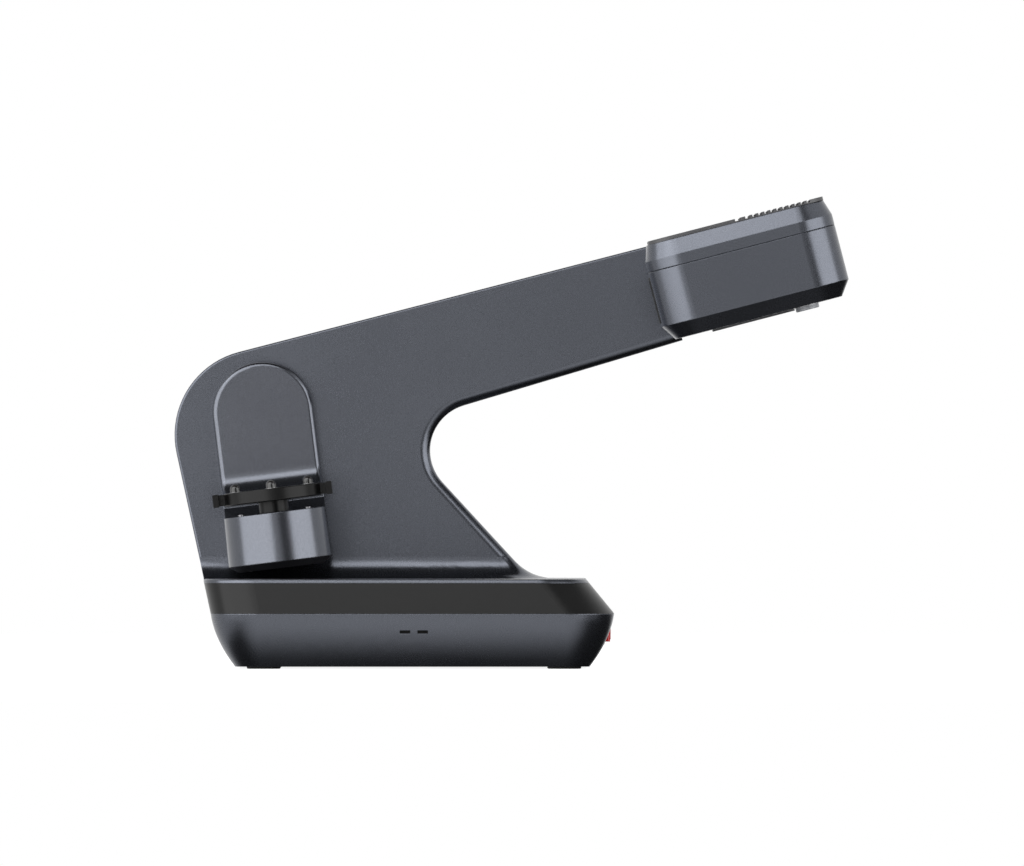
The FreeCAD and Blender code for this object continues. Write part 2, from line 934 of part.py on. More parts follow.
def bearing(outer, inner, thick, start, way):
    end = start + way * thick
    ring = tube(outer, inner, start, end)
    middle = (outer + inner) / 2
    half = (outer - inner) / 4
    for face, inward in ((start, way), (end, way * -1)):
        groove = tube(middle + half, middle - half, face - inward * overrun, face + inward * bearing_groove)
        ring = ring.cut(groove)
    return ring


def swing_bearings():
    bore = shaft_r + running_gap
    starts = (housing_front_y, frame_y - bearing_t)
    return Part.makeCompound([bearing(bearing_r, bore, bearing_t, at(swing_axis, y), V(0, 1, 0))
                              for y in starts])


def swing_motor():
    half = motor_side / 2
    x, z = motor_axis
    corners = [(x - half, z - half), (x + half, z - half), (x + half, z + half), (x - half, z + half)]
    flat = []
    for index, corner in enumerate(corners):
        before = corners[index - 1]
        after = corners[(index + 1) % len(corners)]
        for other in (before, after):
            share = motor_chamfer / motor_side
            flat.append((corner[0] + (other[0] - corner[0]) * share,
                         corner[1] + (other[1] - corner[1]) * share, 0))
    body = prism_y(flat, motor_front_y, frame_y)
    core_half = half - motor_waist
    core = prism_y(rounded(x - core_half, x + core_half, z - core_half, z + core_half, motor_chamfer),
                   motor_front_y + motor_cap, frame_y - motor_cap)
    band = box(x - half - motor_waist, x + half + motor_waist, motor_front_y + motor_cap,
               frame_y - motor_cap,
               z - half - motor_waist, z + half + motor_waist)
    body = body.cut(band.cut(core))
    body = body.fuse(rod(motor_boss_r, at(motor_axis, frame_y - seat_gap),
                         at(motor_axis, frame_y + frame_t / 2)))
    body = body.cut(rod(motor_shaft_r + running_gap, at(motor_axis, frame_y - motor_cap),
                        at(motor_axis, frame_y + frame_t + overrun)))
    for mx, mz in motor_screw_places():
        body = body.cut(screw_hole(motor_screw, V(mx, frame_y + frame_t, mz), V(0, -1, 0)))
    return body


def housing_screw_places():
    reach = (housing_r + housing_flange_r) / 2
    turns = [360 * (index + 0.5) / housing_screw_count for index in range(housing_screw_count)]
    return [(swing_x + reach * cos(turn), swing_z + reach * sin(turn)) for turn in turns]


def drive_screws():
    return Part.makeCompound([screw(motor_screw, V(x, frame_y + frame_t, z), V(0, -1, 0))
                              for x, z in motor_screw_places() + housing_screw_places()])


def pulley(axis, radius):
    y0 = pulley_y
    y1 = pulley_y + pulley_w
    rim_r = radius + pulley_flange + belt_t
    return join([rod(radius, at(axis, y0), at(axis, y1)),
                 rod(rim_r, at(axis, y0), at(axis, y0 + pulley_flange_t)),
                 rod(rim_r, at(axis, y1 - pulley_flange_t), at(axis, y1))])


def swing_pulley():
    wheel = pulley(swing_axis, pulley_r)
    wheel = wheel.cut(rod(shaft_r + seat_gap, at(swing_axis, pulley_y - overrun),
                          at(swing_axis, pulley_y + pulley_w + overrun)))
    reach = (pulley_r + shaft_r) / 2
    for index in range(pulley_windows):
        turn = 360 * index / pulley_windows
        spot = (swing_axis[0] + reach * cos(turn), swing_axis[1] + reach * sin(turn))
        wheel = wheel.cut(rod((pulley_r - shaft_r) / 4, at(spot, pulley_y - overrun),
                              at(spot, pulley_y + pulley_w + overrun)))
    return wheel


def belt_loop(offset, y0, y1):
    """The belt's path round both pulleys, as circles and the straight spans between them."""
    big = pulley_r + offset
    small = motor_pulley_r + offset
    dx = motor_axis[0] - swing_axis[0]
    dz = motor_axis[1] - swing_axis[1]
    gap = math.hypot(dx, dz)
    heading = math.degrees(math.atan2(dz, dx))
    wrap = math.degrees(math.acos((big - small) / gap))
    points = []
    for axis, radius in ((swing_axis, big), (motor_axis, small)):
        for side in (1, -1):
            turn = heading + side * wrap
            points.append((axis[0] + radius * cos(turn), axis[1] + radius * sin(turn), 0))
    web = [points[0], points[2], points[3], points[1]]
    return join([rod(big, at(swing_axis, y0), at(swing_axis, y1)),
                 rod(small, at(motor_axis, y0), at(motor_axis, y1)),
                 prism_y(web, y0, y1)])


def swing_belt():
    y0 = pulley_y + pulley_flange_t + belt_gap
    y1 = pulley_y + pulley_w - pulley_flange_t - belt_gap
    return belt_loop(belt_gap + belt_t, y0, y1).cut(belt_loop(belt_gap, y0 - overrun, y1 + overrun))


def swing_motor_pulley():
    wheel = pulley(motor_axis, motor_pulley_r)
    shaft = rod(motor_shaft_r, at(motor_axis, frame_y - motor_cap + seat_gap),
                at(motor_axis, pulley_y + pulley_w))
    return wheel.fuse(shaft)


# Swing arm, drawn hanging straight down from an axis at the origin

def shelf_loft(z0, z1, r0, r1, back_y):
    """A block with a half-round front about the turntable's axis."""
    wires = []
    for z, radius in ((z0, r0), (z1, r1)):
        edges = [Part.Arc(V(-radius, table_y, z), V(0, table_y - radius, z),
                          V(radius, table_y, z)).toShape(),
                 Part.makeLine(V(radius, table_y, z), V(radius, back_y, z)),
                 Part.makeLine(V(radius, back_y, z), V(-radius, back_y, z)),
                 Part.makeLine(V(-radius, back_y, z), V(-radius, table_y, z))]
        wires.append(Part.Wire(edges))
    return Part.makeLoft(wires, True, True)


arm_back = slab_front - swing_gap


def shelf_back_cut(inset):
    """Removes the shelf's rear lower edge, so that it clears the cove at the slab's foot."""
    reach = shelf_back_chamfer + inset
    wide = shelf_low_r + overrun
    corners = [(arm_back + overrun, -shelf_bottom_drop - overrun, 0),
               (arm_back - reach - overrun, -shelf_bottom_drop - overrun, 0),
               (arm_back + overrun, -shelf_bottom_drop + reach + overrun, 0)]
    return prism_x(corners, -wide, wide)


def table_at(z):
    return V(0, table_y, z)


motor_distance = gear_module * (gear_teeth + pinion_teeth) / 2
table_motor_y = table_y + motor_distance


def table_motor_at(z):
    return V(0, table_motor_y, z)


def shelf_screw_places():
    front_reach = shelf_screw_ring * cos(45)
    return [(side * front_reach, table_y - front_reach) for side in (-1, 1)] \
        + [(side * shelf_screw_x, ledge_front) for side in (-1, 1)]


def swing_arm():
    corners = [(-bulge_r, -shelf_drop, 0), (bulge_r, -shelf_drop, 0), (bulge_r, 0, 0), (-bulge_r, 0, 0)]
    bulge = prism_y(corners, bulge_front, arm_back)
    bulge = bulge.fuse(rod(bulge_r, V(0, bulge_front, 0), V(0, arm_back, 0))).removeSplitter()
    rim = edges_where(bulge, lambda p: abs(p.y - bulge_front) < edge_tol and p.z > -shelf_drop + edge_tol)
    bulge = bulge.makeFillet(bulge_round, rim)
    forward = bulge_front - ledge_front
    cove = forward / (1 - cos(ledge_turn))
    bend = -ledge_start - cove * tan(ledge_turn / 2)
    brow = bend - forward / tan(ledge_turn)
    back = bulge_front + 2 * bulge_round
    step = [(back, -shelf_drop, 0),
            (ledge_front - (shelf_drop - ledge_foot_drop) * tan(ledge_foot_turn), -shelf_drop, 0),
            (ledge_front, -ledge_foot_drop, 0), (ledge_front, brow, 0),
            (bulge_front, bend, cove - edge_tol), (bulge_front, -ledge_start, 0), (back, -ledge_start, 0)]
    ledge = prism_x(step, -bulge_r, bulge_r)
    sides = edges_where(ledge, lambda p: abs(abs(p.x) - bulge_r) < edge_tol and p.y < bulge_front + edge_tol
                        and brow + edge_tol < p.z < -ledge_start - edge_tol)
    ledge = ledge.makeFillet(bulge_round, sides)
    shelf = shelf_loft(-shelf_low_drop, -shelf_drop, shelf_low_r, shelf_r, arm_back)
    hollow = shelf_loft(-shelf_low_drop, -shelf_drop - shelf_top_t, shelf_low_r - shelf_wall,
                        shelf_r - shelf_wall, arm_back - shelf_wall)
    hollow = hollow.cut(shelf_back_cut(shelf_wall))
    boss = rod(table_bearing_r + shelf_wall, table_at(-shelf_drop - shelf_top_t / 2),
               table_at(-shelf_drop - table_bearing_seat - table_bearing_t))
    arm = join([bulge, ledge, shelf.cut(hollow), boss])
    for x, y in shelf_screw_places():
        arm = arm.fuse(rod(small_screw[0] / 2 + shelf_wall / 2, V(x, y, -shelf_drop - shelf_top_t / 2),
                           V(x, y, -shelf_low_drop)))
    arm = arm.cut(shelf_back_cut(0))
    arm = arm.cut(rod(table_bearing_r + seat_gap, table_at(-shelf_bottom_drop),
                      table_at(-shelf_drop - table_bearing_seat)))
    arm = arm.cut(rod(table_hub_r + table_hub_gap, table_at(-shelf_drop - shelf_top_t),
                      table_at(-shelf_drop + overrun)))
    hub = rod(hub_r, V(0, arm_back - seat_gap, 0), V(0, housing_front_y - swing_gap, 0))
    arm = arm.fuse(hub)
    arm = arm.cut(rod(shaft_r + seat_gap, V(0, bulge_front + bulge_round, 0), V(0, slab_back, 0)))
    for x, y in shelf_screw_places():
        arm = arm.cut(screw_hole(small_screw, V(x, y, -shelf_low_drop - shelf_screw_seat), V(0, 0, 1)))
    for x, y in dot_places():
        arm = arm.cut(screw_hole(small_screw, V(x, y, -shelf_drop), V(0, 0, -1)))
    return arm.removeSplitter()


shelf_screw_seat = (shelf_bottom_drop - shelf_low_drop) / 2


def shelf_cover():
    cover = shelf_loft(-shelf_bottom_drop, -shelf_low_drop, shelf_low_r - cover_chamfer_in, shelf_low_r,
                       arm_back)
    cover = cover.cut(shelf_back_cut(0))
    for x, y in shelf_screw_places():
        cover = cover.cut(screw_hole(small_screw, V(x, y, -shelf_low_drop - shelf_screw_seat), V(0, 0, 1)))
    return cover


def dot_places():
    return [(side * dot_x, table_y + step) for side in (-1, 1) for step in (-dot_spread, dot_spread)]


def shelf_screws():
    below = [screw(small_screw, V(x, y, -shelf_low_drop - shelf_screw_seat), V(0, 0, 1))
             for x, y in shelf_screw_places()]
    above = [screw(small_screw, V(x, y, -shelf_drop), V(0, 0, -1)) for x, y in dot_places()]
    return Part.makeCompound(below + above)


def swing_shaft():
    shaft = rod(shaft_r, V(0, bulge_front + bulge_round + seat_gap, 0), V(0, shaft_end_y, 0))
    flat = box(shaft_r - shaft_flat, shaft_r + overrun, pulley_y, shaft_end_y + overrun, -shaft_r, shaft_r)
    return shaft.cut(flat)


def turntable_bearing():
    start = table_at(-shelf_drop - table_bearing_seat)
    return bearing(table_bearing_r, table_shaft_r + running_gap, table_bearing_t, start, V(0, 0, -1))


def turntable_motor():
    bottom = -shelf_low_drop
    top = -table_motor_top_drop
    can = rod(table_motor_r, table_motor_at(bottom), table_motor_at(top))
    can = can.makeFillet(table_motor_ear_t / 2, edges_where(can, lambda p: abs(p.z - top) < seat_gap))
    ear = box(-table_motor_ear, table_motor_ear, table_motor_y - table_motor_ear_half,
              table_motor_y + table_motor_ear_half, bottom, bottom + table_motor_ear_t)
    can = can.fuse(ear)
    return can.cut(rod(table_motor_shaft_r + running_gap, table_motor_at(bottom + shelf_wall),
                       table_motor_at(top + overrun)))


def gear_outline(teeth, centre_y, phase):
    pitch_r = gear_module * teeth / 2
    root_r = pitch_r - gear_module * tooth_down_share
    tip_r = pitch_r + gear_module * tooth_up_share
    step = 360 / teeth
    points = []
    for index in range(teeth):
        middle = phase + index * step
        for radius, share in ((root_r, -tooth_root_share), (tip_r, -tooth_tip_share),
                              (tip_r, tooth_tip_share),
                              (root_r, tooth_root_share)):
            turn = middle + share * step / 2
            points.append((radius * cos(turn), centre_y + radius * sin(turn), 0))
    return points


def turntable_gear():
    gear = prism_z(gear_outline(gear_teeth, table_y, 0), -gear_drop - gear_t, -gear_drop)
    hub = rod(gear_hub_r, table_at(-gear_drop - gear_t), table_at(-gear_drop + table_bearing_seat))
    gear = gear.fuse(hub)
    reach = (gear_hub_r + gear_module * gear_teeth / 2) / 2
    for index in range(gear_windows):
        turn = 360 * index / gear_windows
        spot = V(reach * cos(turn), table_y + reach * sin(turn), 0)
        gear = gear.cut(rod(gear_hub_r / 2, spot + V(0, 0, -gear_drop - gear_t - overrun),
                            spot + V(0, 0, -gear_drop + overrun)))
    return gear.cut(rod(table_shaft_r + seat_gap, table_at(-shelf_bottom_drop), table_at(-shelf_drop)))


def turntable_pinion():
    phase = 180 / pinion_teeth
    pinion = prism_z(gear_outline(pinion_teeth, table_motor_y, phase), -gear_drop - gear_t, -gear_drop)
    shaft = rod(table_motor_shaft_r, table_motor_at(-shelf_low_drop + shelf_wall + seat_gap),
                table_motor_at(-gear_drop + table_bearing_seat))
    return pinion.fuse(shaft)


def turntable_shaft():
    hub = rod(table_hub_r, table_at(-shelf_drop + table_hub_gap), table_at(-table_drop - table_t))
    stem = rod(table_shaft_r, table_at(-gear_drop - gear_t), table_at(-table_drop - table_t))
    spigot = rod(table_bolt_head_r, table_at(-table_drop - table_t), table_at(-table_drop - table_t / 2))
    shaft = join([hub, stem, spigot])
    return shaft.cut(rod(table_bolt_r + seat_gap, table_at(-table_drop - 2 * table_t),
                         table_at(-table_drop)))


def ball_places():
    return [V(ball_ring * cos(turn), table_y + ball_ring * sin(turn), -table_drop + ball_rise)
            for turn in ball_turns]


def turntable_plate():
    low = -table_drop - table_t
    plate = rod(table_r, table_at(low), table_at(-table_drop))
    plate = plate.makeFillet(table_round, edges_where(plate, lambda p: abs(p.z + table_drop) < seat_gap
                                                      or abs(p.z - low) < seat_gap))
    pieces = [plate]
    for side in (-1, 1):
        neck = sorted((side * (table_r - overrun), side * lug_neck_end))
        tab = sorted((side * lug_neck_end, side * lug_end))
        pieces.append(box(neck[0], neck[1], table_y - lug_neck_half, table_y + lug_neck_half,
                          low + lug_neck_low,
                          -table_drop - lug_neck_low))
        pieces.append(box(tab[0], tab[1], table_y - lug_tab_half, table_y + lug_tab_half, low, -table_drop))
    plate = join(pieces)
    plate = plate.cut(rod(table_bolt_head_r + seat_gap, table_at(low - overrun),
                          table_at(low + table_t / 2)))
    plate = plate.cut(rod(table_bolt_r + seat_gap, table_at(low), table_at(-table_drop + overrun)))
    plate = plate.cut(rod(table_bolt_head_r + seat_gap, table_at(-table_drop - table_bolt_head_t),
                          table_at(0)))
    for spot in ball_places():
        plate = plate.cut(rod(ball_r + seat_gap, spot - V(0, 0, ball_r + seat_gap), spot))
        plate = plate.cut(rod(ball_stem_r + seat_gap, spot - V(0, 0, ball_r + ball_stem), spot))
    return plate


def locating_balls():
    pins = []
    for spot in ball_places():
        foot = rod(ball_r, spot - V(0, 0, ball_r), spot)
        stem = rod(ball_stem_r, spot - V(0, 0, ball_r + ball_stem - seat_gap), spot)
        pins.append(join([Part.makeSphere(ball_r, spot), foot, stem]))
    return Part.makeCompound(pins)


def turntable_bolt():
    return screw((2 * table_bolt_head_r, table_bolt_head_t, 2 * table_bolt_r, table_t),
                 table_at(-table_drop - table_bolt_head_t), V(0, 0, -1))


# Head, drawn with u along X and w along Z

def head_section(w, inset):
    side = inset
    if w < head_w1:
        side = inset + head_low_in * (head_w1 - w) / (head_w1 - head_w0)
    if w > head_w2:
        side = inset + head_top_in * (w - head_w2) / (head_w3 - head_w2)
    return rounded(head_u0 + side, head_u1 - side, head_front + side, head_back - side, head_corner - side)


def head_loft(levels, inset):
    pieces = []
    for low, high in zip(levels, levels[1:]):
        pieces.append(loft_z([(head_section(low, inset), low), (head_section(high, inset), high)], True))
    return join(pieces).removeSplitter()


def arm_socket():
    """The arm's own outline in the head's directions, a panel gap larger, for the cut in the head."""
    corners = slab_corners(-panel_gap, deck_top, arm_end_u + panel_gap)
    cut = prism_y(corners, slab_front - panel_gap, slab_back + overrun)
    return turned(cut, arm_tilt, V(0, 0, 0), V(0, 1, 0))


def head_screw_places():
    inset = head_low_in + head_corner / 2
    return [(u, y) for u in (head_u0 + inset, head_u1 - inset)
            for y in (head_front + inset, head_back - inset)]


def head_lower_shell():
    shell = head_loft([head_w0, head_w1, head_parting], 0)
    hollow = head_loft([head_w0 + head_floor, head_w1, head_parting], head_wall)
    posts = [rod(head_screw[0] / 2 + head_wall / 2, V(u, y, head_w0 + head_floor / 2),
                 V(u, y, head_parting))
             for u, y in head_screw_places()]
    legs = [rod(bench_leg_r, V(u, y, head_w0 + head_floor / 2), V(u, y, bench_w)) for u,
            y in bench_leg_places()]
    shell = join([shell.cut(hollow)] + posts + legs)
    for u, y in head_screw_places():
        shell = shell.cut(screw_hole(head_screw, V(u, y, head_parting - head_screw[3] / 2), V(0, 0, 1)))
        shell = shell.cut(rod(head_screw[0] / 2 + seat_gap, V(u, y, head_w0 - overrun),
                              V(u, y, head_parting - head_screw[3] / 2)))
    shell = shell.cut(box(head_u0 - overrun, head_u0 + head_wall + overrun, head_mid_y - window_half,
                          head_mid_y + window_half, window_low, window_high))
    shell = shell.cut(rod(button_r + panel_gap, V(button_u, button_y, head_w0 - overrun),
                          V(button_u, button_y, head_w0 + head_floor + overrun)))
    for u, y in service_screw_places():
        shell = shell.cut(screw_hole(small_screw, V(u, y, head_w0 - service_t / 2), V(0, 0, 1)))
    shell = shell.cut(arm_socket())
    return shell


def head_reveal():
    """The shallow groove where the head's two halves meet."""
    high = head_parting + reveal
    wide = prism_z(head_section(head_parting, -overrun), head_parting, high)
    return wide.cut(prism_z(head_section(head_parting, reveal_in), head_parting - overrun, high + overrun))


def head_upper_cover():
    cover = head_loft([head_parting, head_w2, head_w3], 0).cut(head_reveal())
    hollow = head_loft([head_parting, head_w2, head_w3 - head_roof], head_wall)
    studs = [rod(head_screw[0] / 2 + head_wall / 2, V(u, y, head_parting), V(u, y, head_w3 - head_roof / 2))
             for u, y in head_screw_places()]
    fan_half = fan_side / 2
    fan_posts = [rod(head_wall, V(fan_u + du * (fan_half - head_wall),
                                  head_mid_y + dy * (fan_half - head_wall), fan_top),
                     V(fan_u + du * (fan_half - head_wall), head_mid_y + dy * (fan_half - head_wall),
                       head_w3 - head_roof / 2)) for du in (-1, 1) for dy in (-1, 1)]
    cover = join([cover.cut(hollow)] + studs + fan_posts)
    for u, y in head_screw_places():
        cover = cover.cut(screw_hole(head_screw, V(u, y, head_parting - head_screw[3] / 2), V(0, 0, 1)))
    for u0, u1 in groove_spans()[2:-1]:
        cover = cover.cut(box(u0, u1, grille_front + vent_margin, grille_back - vent_margin,
                              head_w3 - head_roof - overrun,
                              head_w3 + overrun))
    return cover.cut(arm_socket())


def groove_spans():
    """The gaps between the raised strips of the grille, from the arm's side outwards."""
    spans = [(notch_u, notch_u + notch_w), (notch_u + notch_w + block_w, rib_first_u)]
    for index in range(rib_count):
        start = rib_first_u + index * rib_pitch + rib_w
        spans.append((start, start + rib_pitch - rib_w))
    return spans


def head_grille():
    top = head_w3 + grille_t
    plate = prism_z(rounded(grille_u0, grille_u1, grille_front, grille_back, grille_round), head_w3, top)
    for u0, u1 in groove_spans():
        plate = plate.cut(box(u0, u1, grille_front - overrun, grille_back + overrun, head_w3 + grille_web,
                              top + overrun))
    for u0, u1 in groove_spans()[2:-1]:
        slot = box(u0, u1, grille_front + vent_margin, grille_back - vent_margin, head_w3 - overrun,
                   top + overrun)
        plate = plate.cut(slot)
    return plate


def head_window():
    pane = box(head_u0 + panel_gap, head_u0 + window_t, head_mid_y - window_half + seat_gap,
               head_mid_y + window_half - seat_gap, window_low + seat_gap, window_high - seat_gap)
    lip = box(head_u0 + head_wall + seat_gap, head_u0 + head_wall + window_t,
              head_mid_y - window_half - window_lip,
              head_mid_y + window_half + window_lip, window_low - window_lip, window_high + window_lip)
    step = box(head_u0 + window_t - seat_gap, head_u0 + head_wall + 2 * seat_gap,
               head_mid_y - window_half + seat_gap,
               head_mid_y + window_half - seat_gap, window_low + seat_gap, window_high - seat_gap)
    return join([pane, step, lip]).removeSplitter()


def service_screw_places():
    return [(u, y) for u in (service_u0 + service_screw_in, service_u1 - service_screw_in)
            for y in (service_front + service_screw_in, service_back - service_screw_in)]


def head_service_plate():
    plate = prism_z(rounded(service_u0, service_u1, service_front, service_back, service_corner),
                    head_w0 - service_t, head_w0)
    for u, y in service_screw_places():
        plate = plate.cut(screw_hole(small_screw, V(u, y, head_w0 - service_t / 2), V(0, 0, 1)))
    return plate


def head_screws():
    """Four long screws that close the head, and the four small ones of its service plate."""
    spec = (small_screw[0], service_t / 2, small_screw[2], small_screw[3] - service_t)
    small = [screw(spec, V(u, y, head_w0 - service_t / 2), V(0, 0, 1)) for u, y in service_screw_places()]
    return Part.makeCompound(small + [screw(head_screw, V(u, y, head_parting - head_screw[3] / 2),
                                            V(0, 0, 1))
                                      for u, y in head_screw_places()])


def bench_leg_places():
    inset = bench_corner + bench_leg_r
    return [(u, y) for u in (bench_u0 + inset, bench_u1 - inset)
            for y in (bench_front + 4 * inset, bench_back - 2 * inset)]


def optics_bench():
    bench = prism_z(rounded(bench_u0, bench_u1, bench_front, bench_back, bench_corner), bench_w,
                    bench_w + bench_t)
    pads = []
    for spot in camera_spots():
        pads.append(spot_turned(box(camera_front_u, camera_front_u + camera_len, spot - camera_size / 2,
                                    spot + camera_size / 2, bench_w + bench_t - seat_gap,
                                    optic_w - camera_size / 2),
                                spot))
    pads.append(box(camera_front_u, camera_front_u + projector_len, head_mid_y - projector_w / 2,
                    head_mid_y + projector_w / 2, bench_w + bench_t - seat_gap, optic_w - projector_h / 2))
    bench = join([bench] + pads)
    for u, y in head_screw_places():
        bench = bench.cut(rod(head_screw[0] / 2 + head_wall / 2 + panel_gap, V(u, y, bench_w - overrun),
                              V(u, y, bench_w + bench_t + overrun)))
    bench = bench.cut(rod(button_room_r + button_tube_t + panel_gap,
                          V(button_u, button_y, bench_w - overrun),
                          V(button_u, button_y, bench_w + bench_t + overrun)))
    return bench


def camera_spots():
    return (head_mid_y - camera_spread, head_mid_y + camera_spread)


def spot_turned(shape, spot):
    """Turns a camera piece in, so that both cameras look at the middle."""
    side = 1 if spot > head_mid_y else -1
    return turned(shape, -side * toe_in, V(camera_front_u, spot, 0), V(0, 0, 1))


def camera_bodies():
    bodies = []
    half = camera_size / 2
    for spot in camera_spots():
        body = box(camera_front_u, camera_front_u + camera_len, spot - half, spot + half, optic_w - half,
                   optic_w + half)
        body = body.makeChamfer(camera_chamfer, body.Edges)
        bodies.append(spot_turned(body, spot))
    return Part.makeCompound(bodies)


def lens_barrel(radius, hood_r, spot, glass_r):
    front = camera_front_u - lens_len
    barrel = rod(radius, V(front, spot, optic_w), V(camera_front_u, spot, optic_w))
    hood = rod(hood_r, V(front, spot, optic_w), V(front + lens_len / 3, spot, optic_w))
    ring = rod(hood_r, V(camera_front_u - lens_len / 3, spot, optic_w),
               V(camera_front_u - lens_len / 6, spot, optic_w))
    barrel = join([barrel, hood, ring])
    return barrel.cut(rod(glass_r + seat_gap, V(front - overrun, spot, optic_w),
                          V(front + lens_len / 3, spot, optic_w)))


def camera_lenses():
    return Part.makeCompound([spot_turned(lens_barrel(lens_r, lens_hood_r, spot, lens_glass_r), spot)
                              for spot in camera_spots()])


def projector_lens():
    return lens_barrel(projector_lens_r, projector_lens_r + lens_glass_t, head_mid_y,
                       projector_lens_r - lens_glass_t)


def glass_disc(radius, spot):
    """A lens element: a disc with a domed front."""
    back = camera_front_u - lens_len + lens_len / 3
    front = back - lens_glass_t
    disc = rod(radius, V(front, spot, optic_w), V(back, spot, optic_w))
    dome_r = 2 * radius
    rise = dome_r - math.sqrt(dome_r ** 2 - radius ** 2)
    dome = Part.makeSphere(dome_r, V(front - rise + dome_r, spot, optic_w))
    dome = dome.common(rod(radius, V(front - rise - overrun, spot, optic_w), V(front, spot, optic_w)))
    return disc.fuse(dome)


def lens_glasses():
    glasses = [spot_turned(glass_disc(lens_glass_r, spot), spot) for spot in camera_spots()]
    glasses.append(glass_disc(projector_lens_r - lens_glass_t, head_mid_y))
    return Part.makeCompound(glasses)


def projector_body():
    half_y = projector_w / 2
    half_w = projector_h / 2
    body = box(camera_front_u, camera_front_u + projector_len, head_mid_y - half_y, head_mid_y + half_y,
               optic_w - half_w, optic_w + half_w)
    return body.makeChamfer(projector_chamfer, body.Edges)


sink_u0 = camera_front_u + projector_len
fan_low = optic_w + projector_h / 2 + panel_gap
fan_top = fan_low + fan_t


def heat_sink():
    half_y = projector_w / 2
    low = bench_w + bench_t
    high = optic_w + projector_h / 2
    sink = box(sink_u0, sink_u0 + sink_len, head_mid_y - half_y, head_mid_y + half_y, low, high)
    pitch = (projector_w - sink_fin_t) / (sink_fins - 1)
    for index in range(sink_fins - 1):
        y0 = head_mid_y - half_y + sink_fin_t + index * pitch
        sink = sink.cut(box(sink_u0 + sink_base, sink_u0 + sink_len + overrun, y0, y0 + pitch - sink_fin_t,
                            low + sink_base, high + overrun))
    return sink


def fan_at(w):
    return V(fan_u, head_mid_y, w)


def fan_frame():
    half = fan_side / 2
    bore = half - fan_wall
    frame = prism_z(rounded(fan_u - half, fan_u + half, head_mid_y - half, head_mid_y + half, fan_wall),
                    fan_low, fan_top)
    frame = frame.cut(rod(bore, fan_at(fan_low - overrun), fan_at(fan_top + overrun)))
    spokes = [rod(fan_boss_r, fan_at(fan_low), fan_at(fan_low + fan_spoke_t))]
    for turn in fan_spoke_turns:
        bar = box(fan_u - bore - fan_wall / 2, fan_u + bore + fan_wall / 2, head_mid_y - fan_spoke_w / 2,
                  head_mid_y + fan_spoke_w / 2, fan_low, fan_low + fan_spoke_t)
        spokes.append(turned(bar, turn, fan_at(fan_low), V(0, 0, 1)))
    frame = join([frame] + spokes)
    return frame.cut(rod(fan_pin_r + running_gap, fan_at(fan_low + fan_spoke_t / 2), fan_at(fan_top)))


def fan_rotor():
    low = fan_low + fan_spoke_t + panel_gap
    high = fan_top - panel_gap
    tip = fan_side / 2 - fan_wall - fan_tip_gap
    hub = rod(fan_hub_r, fan_at(low), fan_at(high))
    pin = rod(fan_pin_r, fan_at(fan_low + fan_spoke_t / 2 + seat_gap), fan_at(low + fan_spoke_t))
    blades = []
    for index in range(fan_blades):
        blade = box(fan_u + fan_hub_r / 2, fan_u + tip, head_mid_y - fan_blade_t / 2,
                    head_mid_y + fan_blade_t / 2,
                    low - fan_t, high + fan_t)
        blade = turned(blade, fan_blade_pitch, V(fan_u, head_mid_y, (low + high) / 2), V(1, 0, 0))
        blades.append(turned(blade, 360 * index / fan_blades, fan_at(low), V(0, 0, 1)))
    keep = rod(tip, fan_at(low), fan_at(high))
    return join([hub, pin] + [blade.common(keep) for blade in blades])


def head_board():
    board = box(head_board_u, head_board_u + board_t, head_mid_y - head_board_half_y,
                head_mid_y + head_board_half_y,
                head_board_w0, head_board_w1)
    wall_u = head_u1 - head_wall
    mid_w = (head_board_w0 + head_board_w1) / 2
    spacers = [rod(standoff_r, V(head_board_u + board_t,
                                 head_mid_y + side * (head_board_half_y - 2 * standoff_r), mid_w),
                   V(wall_u, head_mid_y + side * (head_board_half_y - 2 * standoff_r), mid_w))
               for side in (-1, 1)]
    return join([board] + spacers)


button_room_r = button_r + button_flange + panel_gap


def button_at(w):
    return V(button_u, button_y, w)


flange_low = head_w0 + head_floor + seat_gap
lid_low = flange_low + button_flange_t + button_room


def button_housing():
    inner = button_room_r
    body = tube(inner + button_tube_t, inner, button_at(head_w0 + head_floor),
                button_at(lid_low + button_lid_t))
    lid = rod(inner + button_tube_t, button_at(lid_low), button_at(lid_low + button_lid_t))
    return body.fuse(lid).cut(rod(button_stem_r + panel_gap, button_at(lid_low - overrun),
                                  button_at(lid_low + button_lid_t + overrun)))


def scan_button():
    cap = rod(button_r, button_at(head_w0 - button_out), button_at(flange_low + button_flange_t))
    cap = cap.makeFillet(button_edge, edges_where(cap, lambda p: p.z < head_w0 - button_out + seat_gap))
    flange = rod(button_r + button_flange, button_at(flange_low), button_at(flange_low + button_flange_t))
    stem = rod(button_stem_r, button_at(flange_low), button_at(lid_low + button_lid_t))
    button = join([cap, flange, stem])
    dish = Part.makeSphere(button_dish_r,
                           button_at(head_w0 - button_out - button_dish_r + button_dish_depth))
    return button.cut(dish)


def button_spring():
    """A short coil round the button's stem, between its flange and the housing's lid."""
    start = flange_low + button_flange_t + spring_wire / 2 + seat_gap
    end = lid_low - spring_wire / 2 - seat_gap
    rise = end - start
    path = Part.makeHelix(rise / spring_turns, rise, spring_r)
    wire = Part.Wire(path.Edges)
    section = Part.Wire([Part.Circle(V(spring_r, 0, 0), V(0, 1, 0), spring_wire / 2).toShape()])
    coil = wire.makePipeShell([section], True, True)
    return moved(coil, button_at(start))


# Electronics and inlets in the base

def standoff_places():
    inset = 2 * standoff_r
    return [(x, y) for x in (board_x0 + inset, board_x1 - inset)
            for y in (board_y0 + inset, board_y1 - inset)]


board_low = plate_top + board_rise
board_high = board_low + board_t


